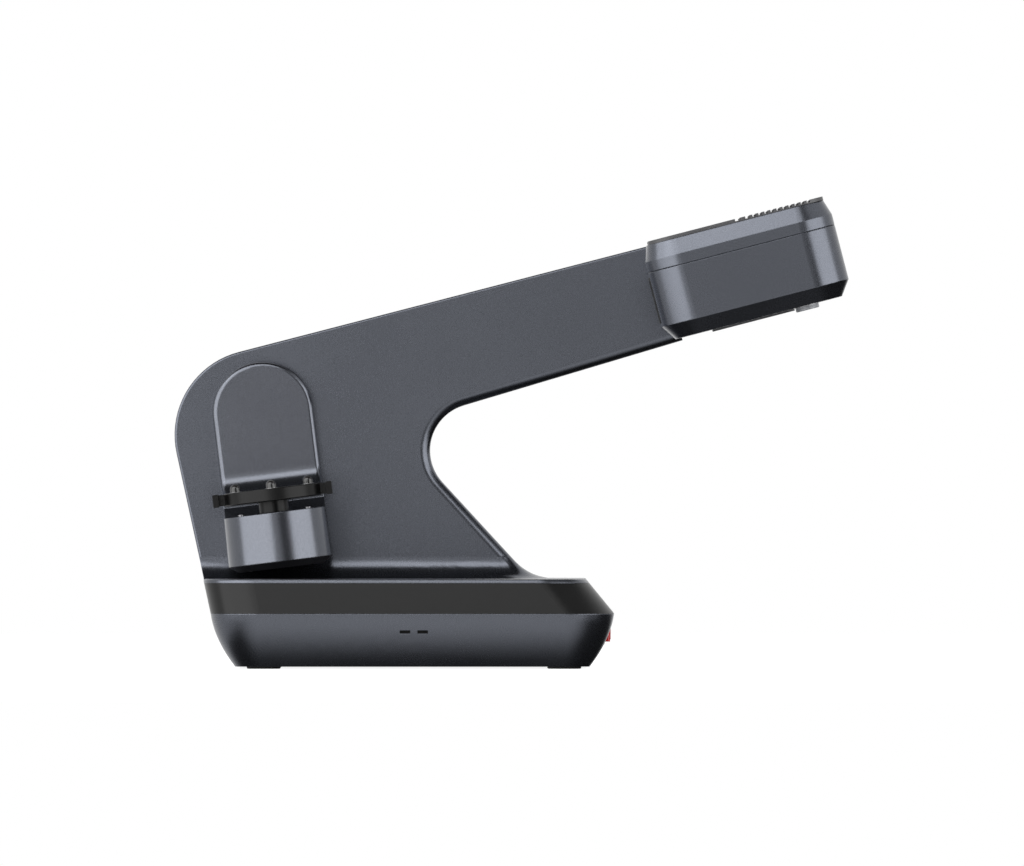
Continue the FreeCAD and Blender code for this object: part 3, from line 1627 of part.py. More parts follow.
def main_board():
    board = box(board_x0, board_x1, board_y0, board_y1, board_low, board_high)
    for x, y in post_places:
        board = board.cut(rod(post_r + swing_gap, V(x, y, board_low - overrun),
                              V(x, y, board_high + overrun)))
    return board


def board_standoffs():
    return Part.makeCompound([tube(standoff_r, standoff_r / 2, V(x, y, plate_top), V(x, y, board_low))
                              for x, y in standoff_places()])


def board_components():
    """Chips and plugs on the main board, by their share of the board's length and width."""
    span_x = board_x1 - board_x0
    span_y = board_y1 - board_y0
    part_shares = [(0.3, 0.55, 0.16, 0.22, 1), (0.62, 0.6, 0.2, 0.3, 1), (0.62, 0.2, 0.1, 0.14, 1),
                   (0.35, 0.2, 0.12, 0.1, 3), (0.9, 0.5, 0.06, 0.3, 4), (0.48, 0.88, 0.3, 0.07, 4)]
    parts = []
    for share_x, share_y, share_w, share_d, tall in part_shares:
        x = board_x0 + span_x * share_x
        y = board_y0 + span_y * share_y
        parts.append(box(x - span_x * share_w / 2, x + span_x * share_w / 2, y - span_y * share_d / 2,
                         y + span_y * share_d / 2, board_high, board_high + chip_h * tall))
    return Part.makeCompound(parts)


port_mid_z = (port_z0 + port_z1) / 2


def connector_panel():
    panel = box(port_x0 + seat_gap, port_x1 - seat_gap, port_panel_y, port_panel_y + port_panel_t,
                port_z0 + seat_gap, port_z1 - seat_gap)
    panel = panel.cut(rod(jack_outer_r + seat_gap, V(jack_x, port_panel_y - overrun, port_mid_z),
                          V(jack_x, port_panel_y + overrun, port_mid_z)))
    return panel.cut(usb_block(seat_gap, overrun))


def usb_block(grow, longer):
    return box(usb_x - usb_w / 2 - grow, usb_x + usb_w / 2 + grow,
               port_panel_y + port_panel_t - usb_len - longer,
               port_panel_y + port_panel_t + longer, port_mid_z - usb_h / 2 - grow,
               port_mid_z + usb_h / 2 + grow)


def dc_jack():
    face = port_panel_y + port_panel_t
    body = rod(jack_outer_r, V(jack_x, face - jack_len, port_mid_z), V(jack_x, face, port_mid_z))
    body = body.cut(rod(jack_bore_r, V(jack_x, face - jack_len + port_panel_t, port_mid_z),
                        V(jack_x, face + overrun, port_mid_z)))
    pin = rod(jack_pin_r, V(jack_x, face - jack_len, port_mid_z),
              V(jack_x, face - port_panel_t, port_mid_z))
    return body.fuse(pin)


def usb_socket():
    face = port_panel_y + port_panel_t
    inner_w = usb_w / 2 - usb_wall
    inner_h = usb_h / 2 - usb_wall
    shell = usb_block(0, 0)
    shell = shell.cut(box(usb_x - inner_w, usb_x + inner_w, face - usb_len + port_panel_t, face + overrun,
                          port_mid_z - inner_h, port_mid_z + inner_h))
    tongue = box(usb_x - inner_w / 2, usb_x + inner_w / 2, face - usb_len, face - port_panel_t,
                 port_mid_z - inner_h / 2, port_mid_z + inner_h / 2)
    return shell.fuse(tongue)


# Power switch in the base's right wall. It rocks about an upright pin.

rocker_x = switch_face_x - rocker_pivot_in


def switch_housing():
    body = box(switch_face_x - switch_depth, switch_face_x, switch_y - switch_half_y,
               switch_y + switch_half_y,
               switch_z - switch_half_z, switch_z + switch_half_z)
    room = box(rocker_x - rocker_depth, switch_face_x + overrun, switch_y - switch_half_y + switch_rim,
               switch_y + switch_half_y - switch_rim, switch_z - switch_half_z + switch_rim,
               switch_z + switch_half_z - switch_rim)
    body = body.cut(room)
    pin = rod(switch_pin_r, V(rocker_x, switch_y, switch_z - switch_half_z + switch_rim / 2),
              V(rocker_x, switch_y, switch_z + switch_half_z - switch_rim / 2))
    return body.fuse(pin)


def power_rocker():
    corners = [(rocker_x - rocker_depth / 2, switch_y - rocker_half_y / 2, 0),
               (switch_face_x, switch_y - rocker_half_y, rocker_rise / 2),
               (switch_face_x + rocker_rise, switch_y - rocker_half_y, rocker_rise / 2),
               (switch_face_x + rocker_rise / 2, switch_y, rocker_tip),
               (switch_face_x + rocker_rise, switch_y + rocker_half_y, rocker_rise / 2),
               (switch_face_x, switch_y + rocker_half_y, rocker_rise / 2),
               (rocker_x - rocker_depth / 2, switch_y + rocker_half_y / 2, 0)]
    rocker = prism_z(corners, switch_z - rocker_half_z, switch_z + rocker_half_z)
    rocker = rocker.cut(rod(switch_pin_r + running_gap, V(rocker_x, switch_y, 0),
                            V(rocker_x, switch_y, parting_z)))
    return turned(rocker, rocker_turn / 2, V(rocker_x, switch_y, 0), V(0, 0, 1))


# Cable: plain runs and arcs from the main board, up the column and along the arm

def internal_cable():
    points = [V(*point) for point in cable_route]
    edges = []
    last = points[0]
    for before, point, after in zip(points, points[1:], points[2:]):
        back = before - point
        onward = after - point
        run = min(back.Length, onward.Length)
        back.normalize()
        onward.normalize()
        half = back.getAngle(onward) / 2
        reach = cable_bend_share * run
        radius = reach * math.tan(half)
        middle = (back + onward).normalize()
        top = point + middle * (radius / math.sin(half) - radius)
        start = point + back * reach
        end = point + onward * reach
        edges.append(Part.makeLine(last, start))
        edges.append(Part.Arc(start, top, end).toShape())
        last = end
    edges.append(Part.makeLine(last, points[-1]))
    path = Part.Wire(edges)
    circle = Part.Circle(points[0], points[1] - points[0], cable_r).toShape()
    return path.makePipeShell([Part.Wire([circle])], True, False)


nodes = {
    "base_lower_shell": base_lower_shell,
    "base_upper_band": base_upper_band,
    "body_front_shell": body_front_shell,
    "body_rear_cover": body_rear_cover,
    "feet": feet,
    "foot_screws": foot_screws,
    "case_screws": case_screws,
    "rear_cover_screws": rear_cover_screws,
    "base_plate": base_plate,
    "column_frame": column_frame,
    "frame_screws": frame_screws,
    "bearing_housing": bearing_housing,
    "swing_bearings": swing_bearings,
    "swing_motor": swing_motor,
    "drive_screws": drive_screws,
    "swing_belt": swing_belt,
    "swing_motor_pulley": swing_motor_pulley,
    "swing_pulley": swing_pulley,
    "main_board": main_board,
    "board_standoffs": board_standoffs,
    "board_components": board_components,
    "connector_panel": connector_panel,
    "dc_jack": dc_jack,
    "usb_socket": usb_socket,
    "indicator_windows": indicator_windows,
    "indicator_board": indicator_board,
    "switch_housing": switch_housing,
    "power_rocker": power_rocker,
    "internal_cable": internal_cable,
}

swing_nodes = {
    "swing_arm": swing_arm,
    "shelf_cover": shelf_cover,
    "shelf_screws": shelf_screws,
    "swing_shaft": swing_shaft,
    "turntable_bearing": turntable_bearing,
    "turntable_motor": turntable_motor,
    "turntable_gear": turntable_gear,
    "turntable_pinion": turntable_pinion,
    "turntable_shaft": turntable_shaft,
    "turntable_plate": turntable_plate,
    "turntable_bolt": turntable_bolt,
    "locating_balls": locating_balls,
}

head_nodes = {
    "head_lower_shell": head_lower_shell,
    "head_upper_cover": head_upper_cover,
    "head_grille": head_grille,
    "head_window": head_window,
    "head_service_plate": head_service_plate,
    "head_screws": head_screws,
    "optics_bench": optics_bench,
    "camera_bodies": camera_bodies,
    "camera_lenses": camera_lenses,
    "projector_lens": projector_lens,
    "lens_glasses": lens_glasses,
    "projector_body": projector_body,
    "heat_sink": heat_sink,
    "fan_frame": fan_frame,
    "fan_rotor": fan_rotor,
    "head_board": head_board,
    "button_housing": button_housing,
    "button_spring": button_spring,
    "scan_button": scan_button,
}


def write(name, shape):
    if not shape.isValid():
        print("not valid:", name)
    shape.exportStep(os.path.join("parts", name + ".step"))


def main():
    os.makedirs("parts", exist_ok=True)
    for name, make in nodes.items():
        write(name, make())
    for name, make in swing_nodes.items():
        write(name, swing_place(make()))
    for name, make in head_nodes.items():
        write(name, head_place(make()))


main()
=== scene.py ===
"""Finishes, small fittings and a studio for a desktop 3D scanner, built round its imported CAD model."""

import json
import math

import bmesh
import bpy
from bpy.props import FloatProperty, FloatVectorProperty, IntProperty, PointerProperty
from mathutils import Matrix, Vector


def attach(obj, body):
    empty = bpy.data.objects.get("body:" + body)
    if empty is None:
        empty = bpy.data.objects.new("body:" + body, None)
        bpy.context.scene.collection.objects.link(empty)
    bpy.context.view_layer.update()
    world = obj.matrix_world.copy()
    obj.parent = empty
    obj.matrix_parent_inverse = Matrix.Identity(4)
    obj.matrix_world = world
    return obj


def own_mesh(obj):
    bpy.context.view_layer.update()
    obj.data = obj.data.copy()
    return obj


bl_info = {
    "name": "Desktop 3D Scanner",
    "version": (1, 0, 0),
    "blender": (4, 5, 0),
    "location": "3D View > Sidebar > Scanner",
    "description": "Finishes, small fittings and a studio for a desktop 3D scanner",
    "category": "Add Mesh",
}

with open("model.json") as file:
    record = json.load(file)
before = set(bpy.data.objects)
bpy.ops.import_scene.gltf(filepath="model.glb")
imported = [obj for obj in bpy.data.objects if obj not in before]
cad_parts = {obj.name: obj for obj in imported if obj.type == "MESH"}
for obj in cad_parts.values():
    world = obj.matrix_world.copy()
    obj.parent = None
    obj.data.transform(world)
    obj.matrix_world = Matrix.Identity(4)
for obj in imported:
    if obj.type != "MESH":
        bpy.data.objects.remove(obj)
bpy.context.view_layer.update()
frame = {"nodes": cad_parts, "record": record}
mounts = {mount["name"]: mount for mount in frame["record"]["mounts"]}

MM = 0.001
HEAD_TILT = math.radians(14.5)
TABLE_TILT = math.radians(7.0)
RIGHT = Vector((1, 0, 0))
BACK = Vector((0, 1, 0))
UP = Vector((0, 0, 1))
HEAD_U = Vector((math.cos(HEAD_TILT), 0, math.sin(HEAD_TILT)))
HEAD_W = Vector((-math.sin(HEAD_TILT), 0, math.cos(HEAD_TILT)))
TABLE_X = Vector((math.cos(TABLE_TILT), 0, math.sin(TABLE_TILT)))
TABLE_UP = Vector((-math.sin(TABLE_TILT), 0, math.cos(TABLE_TILT)))
TABLE_CENTRE = Vector(mounts["fixture_face"]["pos_m"]) - 15 * MM * TABLE_X
DOME_CIRCLE = 26.4 * MM
BUTTON_U = 234.7
BUTTON_Y = -86
HEAD_UNDERSIDE = 173
LAMP_REACH = 2.2


# Shader nodes

class Wire:
    """A node's output. A sum, a product or a comparison of it adds a Math node."""

    def __init__(self, bench, socket):
        self.bench = bench
        self.socket = socket

    def maths(self, operation, *terms):
        return self.bench.node("ShaderNodeMath", {"operation": operation}, dict(enumerate(terms)))

    def __add__(self, other):
        return self.maths("ADD", self, other)

    def __radd__(self, other):
        return self.maths("ADD", other, self)

    def __sub__(self, other):
        return self.maths("SUBTRACT", self, other)

    def __rsub__(self, other):
        return self.maths("SUBTRACT", other, self)

    def __mul__(self, other):
        return self.maths("MULTIPLY", self, other)

    def __rmul__(self, other):
        return self.maths("MULTIPLY", other, self)

    def __lt__(self, other):
        return self.maths("LESS_THAN", self, other)

    def ramp(self, low, high, start=0.0, end=1.0):
        """A smooth change from start to end while this value goes from low to high."""
        return self.bench.node("ShaderNodeMapRange", {"interpolation_type": "SMOOTHSTEP"},
                               {0: self, 1: low, 2: high, 3: start, 4: end})


class Bench:
    """The node tree of one material, or of the world."""

    def __init__(self, tree):
        self.tree = tree
        tree.nodes.clear()

    def node(self, kind, settings=None, sockets=None, output=0):
        """Adds a node, sets it up, fills or links its sockets, and gives one of its outputs."""
        made = self.tree.nodes.new(kind)
        for name, value in (settings or {}).items():
            setattr(made, name, value)
        for name, value in (sockets or {}).items():
            if isinstance(value, Wire):
                self.tree.links.new(value.socket, made.inputs[name])
            else:
                made.inputs[name].default_value = value
        return Wire(self, made.outputs[output]) if made.outputs else None

    def place(self):
        return self.node("ShaderNodeTexCoord", output="Object")

    def grain(self, size, detail=2.0, stretch=(1, 1, 1), shift=0.0):
        """Noise with grains about as wide as size, in metres, drawn out where stretch is under 1."""
        where = self.node("ShaderNodeMapping", {}, {
            "Vector": self.place(), "Location": (shift, shift, shift), "Scale": stretch})
        return self.node("ShaderNodeTexNoise", {}, {"Vector": where, "Scale": 1 / size, "Detail": detail})

    def tint(self, share, first, second):
        """A colour that goes from first to second as share goes from 0 to 1."""
        return self.node("ShaderNodeMix", {"data_type": "RGBA"}, {0: share, 6: first, 7: second}, 2)

    def edges(self, width):
        """1 on sharp edges, 0 on the faces between them."""
        soft = self.node("ShaderNodeBevel", {"samples": 6}, {"Radius": width})
        sharp = self.node("ShaderNodeNewGeometry", output="Normal")
        alike = self.node("ShaderNodeVectorMath", {"operation": "DOT_PRODUCT"}, {0: soft, 1: sharp}, "Value")
        return (1 - alike).ramp(0.02, 0.25)

    def bump(self, height, depth, width):
        """A normal that is raised by height times depth, in metres, with edges rounded to width."""
        soft = self.node("ShaderNodeBevel", {"samples": 6}, {"Radius": width})
        return self.node("ShaderNodeBump", {}, {"Height": height, "Distance": depth, "Normal": soft})

    def radius(self, centre, tilt=0.0):
        """Distance from an axis through centre that leans by tilt from Z towards -X."""
        where = self.node("ShaderNodeMapping", {"vector_type": "TEXTURE"}, {
            "Vector": self.place(), "Location": centre, "Rotation": (0, -tilt, 0)})
        flat = self.node("ShaderNodeVectorMath", {"operation": "MULTIPLY"}, {0: where, 1: (1, 1, 0)})
        return self.node("ShaderNodeVectorMath", {"operation": "LENGTH"}, {0: flat}, "Value")

    def rings(self, radius, width):
        """Noise that changes only with the radius, as turning on a lathe leaves it."""
        return self.node("ShaderNodeTexNoise", {"noise_dimensions": "1D"},
                         {"W": radius, "Scale": 1 / width, "Detail": 2.0})


def shade(value, level=1.0):
    return (*(min(part * level, 1.0) for part in value[:3]), 1.0)


def finish(name, build, fixed=None):
    """A material. build(bench) gives the sockets that change over the surface, fixed the rest."""
    material = bpy.data.materials.new(name)
    material.use_nodes = True
    bench = Bench(material.node_tree)
    shader = bench.node("ShaderNodeBsdfPrincipled", {}, {**(fixed or {}), **build(bench)})
    bench.node("ShaderNodeOutputMaterial", {}, {"Surface": shader})
    return material


def sprayed_coat(name, tone, metallic, roughness, fleck):
    """Satin metallic lacquer: fine flecks, faint orange peel, and a painted highlight on the sharp edges with a
    little rubbed paint.
    """
    def build(bench):
        flecks = bench.grain(fleck, 2.0)
        cloud = bench.grain(0.05, 2.0)
        edge_wear_and_highlight = bench.edges(0.6 * MM)
        paint = bench.tint(flecks.ramp(0.3, 0.7), shade(tone, 0.84), shade(tone, 1.18))
        return {
            # Painted highlight: the sharp edges turn towards a far paler coat, mostly a painted glint and partly
            # rubbed paint.
            "Base Color": bench.tint(edge_wear_and_highlight * 0.35, paint, shade(tone, 2.2)),
            "Metallic": metallic + 0.10 * (flecks - 0.5),
            "Roughness": roughness + 0.10 * (flecks - 0.5) + 0.08 * (cloud - 0.5),
            "Normal": bench.bump(bench.grain(0.9 * MM, 1.0), 0.0015 * MM, 0.7 * MM),
        }
    return finish(name, build)


def moulded(name, tone, roughness, pit=0.5 * MM, depth=0.012 * MM, worn=0.25, fixed=None):
    """Moulded plastic: a spark-eroded skin, handling haze, paler worn edges."""
    def build(bench):
        skin = bench.grain(pit, 2.0)
        haze = bench.grain(0.03, 3.0, shift=0.3)
        edge_wear_and_highlight = bench.edges(0.4 * MM)
        body = bench.tint(haze.ramp(0.3, 0.7), shade(tone, 0.9), shade(tone, 1.1))
        return {
            "Base Color": bench.tint(edge_wear_and_highlight * worn, body, shade([part * 1.6 + 0.03 for part in tone[:3]])),
            "Roughness": roughness + 0.10 * (haze - 0.5) + 0.06 * (skin - 0.5),
            "Normal": bench.bump(skin, depth, 0.3 * MM),
        }
    return finish(name, build, fixed)


def anodised(name, tone, roughness, centre=None, tilt=0.0, worn=0.5, fixed=None):
    """Anodised aluminium, turned on a lathe where it has a centre, brushed along X elsewhere."""
    def build(bench):
        marks = (bench.rings(bench.radius(centre, tilt), 0.25 * MM) if centre is not None
                 else bench.grain(0.3 * MM, 3.0, (0.04, 1, 1)))
        edge_wear_and_highlight = bench.edges(0.35 * MM)
        dye = bench.tint(bench.grain(0.012, 2.0).ramp(0.3, 0.7), shade(tone, 0.85), shade(tone, 1.15))
        return {
            "Base Color": bench.tint(edge_wear_and_highlight * worn, dye, shade([part * 2 + 0.06 for part in tone[:3]])),
            "Roughness": roughness + 0.12 * (marks - 0.5),
            "Normal": bench.bump(marks, 0.004 * MM, 0.3 * MM),
        }
    return finish(name, build, fixed or {"Metallic": 1.0})


def steel(name, tone, roughness, stretch=(1, 1, 1), mark=0.4 * MM):
    """Bare or plated steel with fine marks and a slight change of tone."""
    def build(bench):
        marks = bench.grain(mark, 3.0, stretch)
        haze = bench.grain(0.01, 2.0, shift=0.7)
        return {
            "Base Color": bench.tint(haze.ramp(0.3, 0.7), shade(tone, 0.86), shade(tone, 1.1)),
            "Roughness": roughness + 0.14 * (marks - 0.5) + 0.08 * (haze - 0.5),
            "Normal": bench.bump(marks, 0.003 * MM, 0.25 * MM),
        }
    return finish(name, build, {"Metallic": 1.0})


def rubber(name, tone):
    """Matt black rubber with a fine bloom."""
    def build(bench):
        skin = bench.grain(0.35 * MM, 3.0)
        bloom = bench.grain(0.006, 3.0, shift=0.2)
        return {
            "Base Color": bench.tint(bloom.ramp(0.35, 0.75), shade(tone), shade([part + 0.02 for part in tone[:3]])),
            "Roughness": 0.78 + 0.14 * (bloom - 0.5),
            "Normal": bench.bump(skin, 0.02 * MM, 0.4 * MM),
        }
    return finish(name, build)


def circuit_board(name, tone):
    """Solder mask over copper tracks, with a weave of glass under it."""
    def build(bench):
        where = bench.place()
        tracks = bench.node("ShaderNodeTexBrick", {"offset": 0.37, "squash": 1.4}, {
            "Vector": where, "Scale": 210.0, "Mortar Size": 0.06, "Mortar Smooth": 0.3, "Bias": 0.0,
            "Brick Width": 1.9, "Row Height": 0.5}, "Fac")
        pads = bench.node("ShaderNodeTexVoronoi", {}, {"Vector": where, "Scale": 260.0}, "Distance") < 0.16
        mask = bench.tint(tracks * 0.7, shade(tone), shade(tone, 1.9))
        return {
            "Base Color": bench.tint(pads, mask, (0.55, 0.50, 0.36, 1)),
            "Metallic": pads * 0.9,
            "Roughness": 0.38 + 0.12 * (bench.grain(0.5 * MM) - 0.5),
            "Normal": bench.bump(tracks + pads, 0.03 * MM, 0.15 * MM),
        }
    return finish(name, build)


def dressed(names, material):
    """Gives CAD nodes a finish."""
    for name in names:
        for slot in frame["nodes"][name].material_slots:
            slot.material = material


# Mesh work

def begin(add, **options):
    """Adds one primitive with nothing else selected, and opens it for editing."""
    bpy.ops.object.select_all(action="DESELECT")
    add(**options)
    bpy.ops.object.mode_set(mode="EDIT")
    return bpy.context.object


def pick(kind, wanted):
    """Selects the faces or the edges that pass a test, and nothing else."""
    bpy.ops.mesh.select_mode(type={"faces": "FACE", "edges": "EDGE"}[kind])
    bpy.ops.mesh.select_all(action="DESELECT")
    mesh = bmesh.from_edit_mesh(bpy.context.edit_object.data)
    mesh.normal_update()
    for item in getattr(mesh, kind):
        item.select_set(wanted(item))
    mesh.select_flush_mode()
    bmesh.update_edit_mesh(bpy.context.edit_object.data)


def flat_end(face):
    return abs(face.normal.z) > 0.9


def sharp_edge(edge):
    return len(edge.link_faces) == 2 and edge.calc_face_angle(0) > math.radians(50)


def ring(inner, outer, height, edge, sides=64):
    """A ring round Z that stands on Z = 0, with its edges bevelled."""
    piece = begin(bpy.ops.mesh.primitive_cylinder_add, radius=outer, depth=height, vertices=sides,
                  location=(0, 0, height / 2))
    pick("faces", flat_end)
    bpy.ops.mesh.inset(thickness=outer * math.cos(math.pi / sides) - inner * math.cos(math.pi / sides))
    bpy.ops.mesh.bridge_edge_loops()
    pick("edges", sharp_edge)
    bpy.ops.mesh.bevel(offset=edge, segments=2)
    bpy.ops.object.mode_set(mode="OBJECT")
    return piece


def border(width, depth, height, corner, rim, edge):
    """A flat frame with round corners, width by depth inside, rim wide and height high, on Z = 0."""
    piece = begin(bpy.ops.mesh.primitive_plane_add, size=1)
    bpy.ops.transform.resize(value=(width + 2 * rim, depth + 2 * rim, 1))
    bpy.ops.mesh.bevel(offset=corner + rim, segments=6, affect="VERTICES")
    pick("faces", flat_end)
    bpy.ops.mesh.inset(thickness=rim)
    bpy.ops.mesh.delete(type="FACE")
    bpy.ops.mesh.select_all(action="SELECT")
    bpy.ops.mesh.extrude_region_move(TRANSFORM_OT_translate={"value": (0, 0, height)})
    bpy.ops.mesh.select_all(action="SELECT")
    bpy.ops.mesh.normals_make_consistent(inside=False)
    pick("edges", sharp_edge)
    bpy.ops.mesh.bevel(offset=edge, segments=2)
    bpy.ops.object.mode_set(mode="OBJECT")
    return piece


def settle(piece, name, body, material, axes, places):
    """Puts copies of a piece at places, turned to axes, as one mesh that rides on a body."""
    copies = []
    for place in places:
        copy = piece.copy()
        copy.data = piece.data.copy()
        copy.rotation_euler = Matrix(axes).transposed().to_euler()
        copy.location = place
        bpy.context.collection.objects.link(copy)
        copies.append(copy)
    bpy.data.objects.remove(piece)
    bpy.ops.object.select_all(action="DESELECT")
    for copy in copies:
        copy.select_set(True)
    whole = copies[0]
    bpy.context.view_layer.objects.active = whole
    bpy.ops.object.join()
    bpy.ops.object.transform_apply(location=True, rotation=True, scale=True)
    bpy.ops.object.shade_smooth_by_angle(angle=math.radians(40))
    whole.name = name
    whole.data.name = name
    whole.data.materials.append(material)
    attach(whole, body)


def on_head(u, y, w):
    """A point of the head's own frame, in millimetres: u along the arm, w square to it."""
    return MM * (u * HEAD_U + y * BACK + w * HEAD_W)


def on_rocker(along, proud):
    """A point on the rocker's face, in millimetres: along from its middle to the back, proud of the face."""
    pivot = Vector((54.8, 62.0, 21.7))
    face = Vector((5.25 + 1.65 * abs(along) / 8.9 + proud, along, 0))
    return MM * (pivot + Matrix.Rotation(math.radians(4.5), 3, "Z") @ face)


# What a user would change

def tone(name, value, description):
    return FloatVectorProperty(name=name, description=description, default=value, size=3, min=0, max=1,
                               subtype="COLOR")


def length(name, value, description):
    return FloatProperty(name=name, description=description, default=value, min=0, unit="LENGTH")


def share(name, value, description):
    return FloatProperty(name=name, description=description, default=value, min=0, max=1, subtype="FACTOR")


class FinishSettings(bpy.types.PropertyGroup):
    coat: tone("Coat", (0.092, 0.098, 0.114), "Blue-grey coat of the base, the column, the arm and the head")
    swing: tone("Swing arm", (0.100, 0.106, 0.122), "Coat of the swing arm's casting")
    band: tone("Band", (0.005, 0.005, 0.005), "Semi-gloss black of the band round the base")
    plate: tone("Small plates", (0.055, 0.055, 0.058), "Grey of the grille plate and the service plate")
    cover: tone("Shelf cover", (0.014, 0.014, 0.016), "Dark plastic under the motor housing")
    table: tone("Turntable", (0.0035, 0.0035, 0.0035), "Black anodised turntable")
    red: tone("Rocker", (0.52, 0.004, 0.004), "Red of the power rocker")
    button: tone("Button", (0.34, 0.35, 0.37), "Silver-grey of the push button")
    gloss: share("Coat roughness", 0.27, "Roughness of the sprayed coat")
    metal: share("Coat metal", 0.95, "Share of metal flake in the sprayed coat")
    fleck: length("Fleck", 0.35 * MM, "Width of the coat's metal flecks")


class FittingSettings(bpy.types.PropertyGroup):
    collar_rim: length("Collar rim", 0.75 * MM, "Width of the steel collars round the locating domes")
    collar_height: length("Collar height", 0.35 * MM, "Height of the collars above the turntable")
    gasket_rim: length("Gasket rim", 2.2 * MM, "Width of the gasket round the head's window")
    gasket_height: length("Gasket height", 0.5 * MM, "How far the gasket stands proud")
    nut_across: length("Nut", 14.0 * MM, "Width of the supply inlet's nut across its corners")
    nut_height: length("Nut height", 1.8 * MM, "Thickness of the supply inlet's nut")
    ridges: IntProperty(name="Ridges", description="Grip ridges on the power rocker", default=3, min=1, max=6)


class StudioSettings(bpy.types.PropertyGroup):
    distance: length("Camera distance", 24.0, "From the camera to the front of the object")
    height: length("Camera height", 0.1467, "Height of the camera over the floor")
    width: length("View width", 0.638, "Width of the picture at the object")
    ambient: share("Ambient", 0.35, "Level of the light that comes from all round")
    front: FloatProperty(name="Front", description="Brightness of the walls behind the camera, in the gloss",
                         default=0.9, min=0)
    gap: share("Gap", 0.08, "Brightness between the front walls and the right lamp, as the gloss shows it")
    ground: FloatProperty(name="Ground", description="Brightness of the ground in front, in the gloss",
                          default=1.3, min=0)
    above: share("Ceiling", 0.05, "Brightness of the ceiling, as the gloss shows it")
    rear: share("Ground behind", 0.6, "Brightness of the ground behind the object, as the gloss shows it")
    below: share("Under the object", 0.02, "Brightness straight below, as the gloss shows it")
    left: FloatProperty(name="Left lamp", description="Radiance of the left softbox", default=2.7, min=0)
    right: FloatProperty(name="Right lamp", description="Radiance of the right softbox", default=2.5, min=0)
    top: FloatProperty(name="Top lamp", description="Radiance of the top softbox", default=2.7, min=0)


class PieceOperator:
    bl_options = {"REGISTER", "UNDO"}


class SCANNER_OT_shells(PieceOperator, bpy.types.Operator):
    """Coats the base's lower shell, the column with its arm, and the head"""
    bl_idname = "scanner.shells"
    bl_label = "Shells"

    def execute(self, context):
        looks = context.scene.scanner_finish
        coat = sprayed_coat("blue-grey coat", looks.coat, looks.metal, looks.gloss, looks.fleck)
        dressed(["base_lower_shell", "body_front_shell", "body_rear_cover", "head_lower_shell",
                 "head_upper_cover"], coat)
        return {"FINISHED"}


class SCANNER_OT_band(PieceOperator, bpy.types.Operator):
    """Finishes the black band round the base"""
    bl_idname = "scanner.band"
    bl_label = "Band"

    def execute(self, context):
        looks = context.scene.scanner_finish
        dressed(["base_upper_band"], moulded("semi-gloss black", looks.band, 0.30, 0.7 * MM, 0.003 * MM,
                                             fixed={"Specular IOR Level": 0.2}))
        return {"FINISHED"}


class SCANNER_OT_plates(PieceOperator, bpy.types.Operator):
    """Finishes the grille plate and the service plate of the head"""
    bl_idname = "scanner.plates"
    bl_label = "Head plates"

    def execute(self, context):
        looks = context.scene.scanner_finish
        dressed(["head_grille"], moulded("grille grey", looks.plate, 0.42))
        dressed(["head_service_plate"], moulded("service plate grey", looks.plate, 0.5))
        return {"FINISHED"}


class SCANNER_OT_swing_arm(PieceOperator, bpy.types.Operator):
    """Finishes the swing arm's casting and the cover under its housing"""
    bl_idname = "scanner.swing_arm"
    bl_label = "Swing arm"

    def execute(self, context):
        looks = context.scene.scanner_finish
        dressed(["swing_arm"], sprayed_coat("swing arm coat", looks.swing, looks.metal, looks.gloss - 0.04,
                                            looks.fleck))
        dressed(["shelf_cover"], moulded("shelf cover black", looks.cover, 0.38))
        return {"FINISHED"}


class SCANNER_OT_turntable(PieceOperator, bpy.types.Operator):
    """Finishes the turntable and its domes, and sets a collar round each dome"""
    bl_idname = "scanner.turntable"
    bl_label = "Turntable"

    def execute(self, context):
        looks = context.scene.scanner_finish
        sizes = context.scene.scanner_fittings
        for name, roughness in (("turntable_plate", 0.34), ("turntable_shaft", 0.30)):
            dressed([name], anodised("deep black " + name, looks.table, roughness, TABLE_CENTRE, TABLE_TILT, 0.12,
                                     {"Specular IOR Level": 0.18}))
        dressed(["locating_balls"], moulded("polished black", (0.010, 0.010, 0.010), 0.08, worn=0.0))
        plated = steel("collar steel", (0.22, 0.22, 0.225), 0.28)
        collar = ring(3.3 * MM, 3.3 * MM + sizes.collar_rim, sizes.collar_height, 0.1 * MM)
        spots = [TABLE_CENTRE + DOME_CIRCLE * (math.cos(turn) * TABLE_X + math.sin(turn) * BACK)
                 for turn in map(math.radians, (30, 150, 270))]
        settle(collar, "dome_collars", "turntable", plated, (TABLE_X, BACK, TABLE_UP), spots)
        return {"FINISHED"}


class SCANNER_OT_feet(PieceOperator, bpy.types.Operator):
    """Finishes the rubber feet"""
    bl_idname = "scanner.feet"
    bl_label = "Feet"

    def execute(self, context):
        dressed(["feet"], rubber("foot rubber", (0.007, 0.007, 0.007)))
        return {"FINISHED"}


class SCANNER_OT_screws(PieceOperator, bpy.types.Operator):
    """Finishes all the screws"""
    bl_idname = "scanner.screws"
    bl_label = "Screws"

    def execute(self, context):
        zinc = steel("zinc plated steel", (0.56, 0.56, 0.57), 0.30)
        dressed(["foot_screws", "case_screws", "rear_cover_screws", "frame_screws", "drive_screws",
                 "head_screws", "turntable_bolt"], zinc)
        dressed(["shelf_screws"], steel("blackened steel", (0.16, 0.16, 0.17), 0.30))
        return {"FINISHED"}


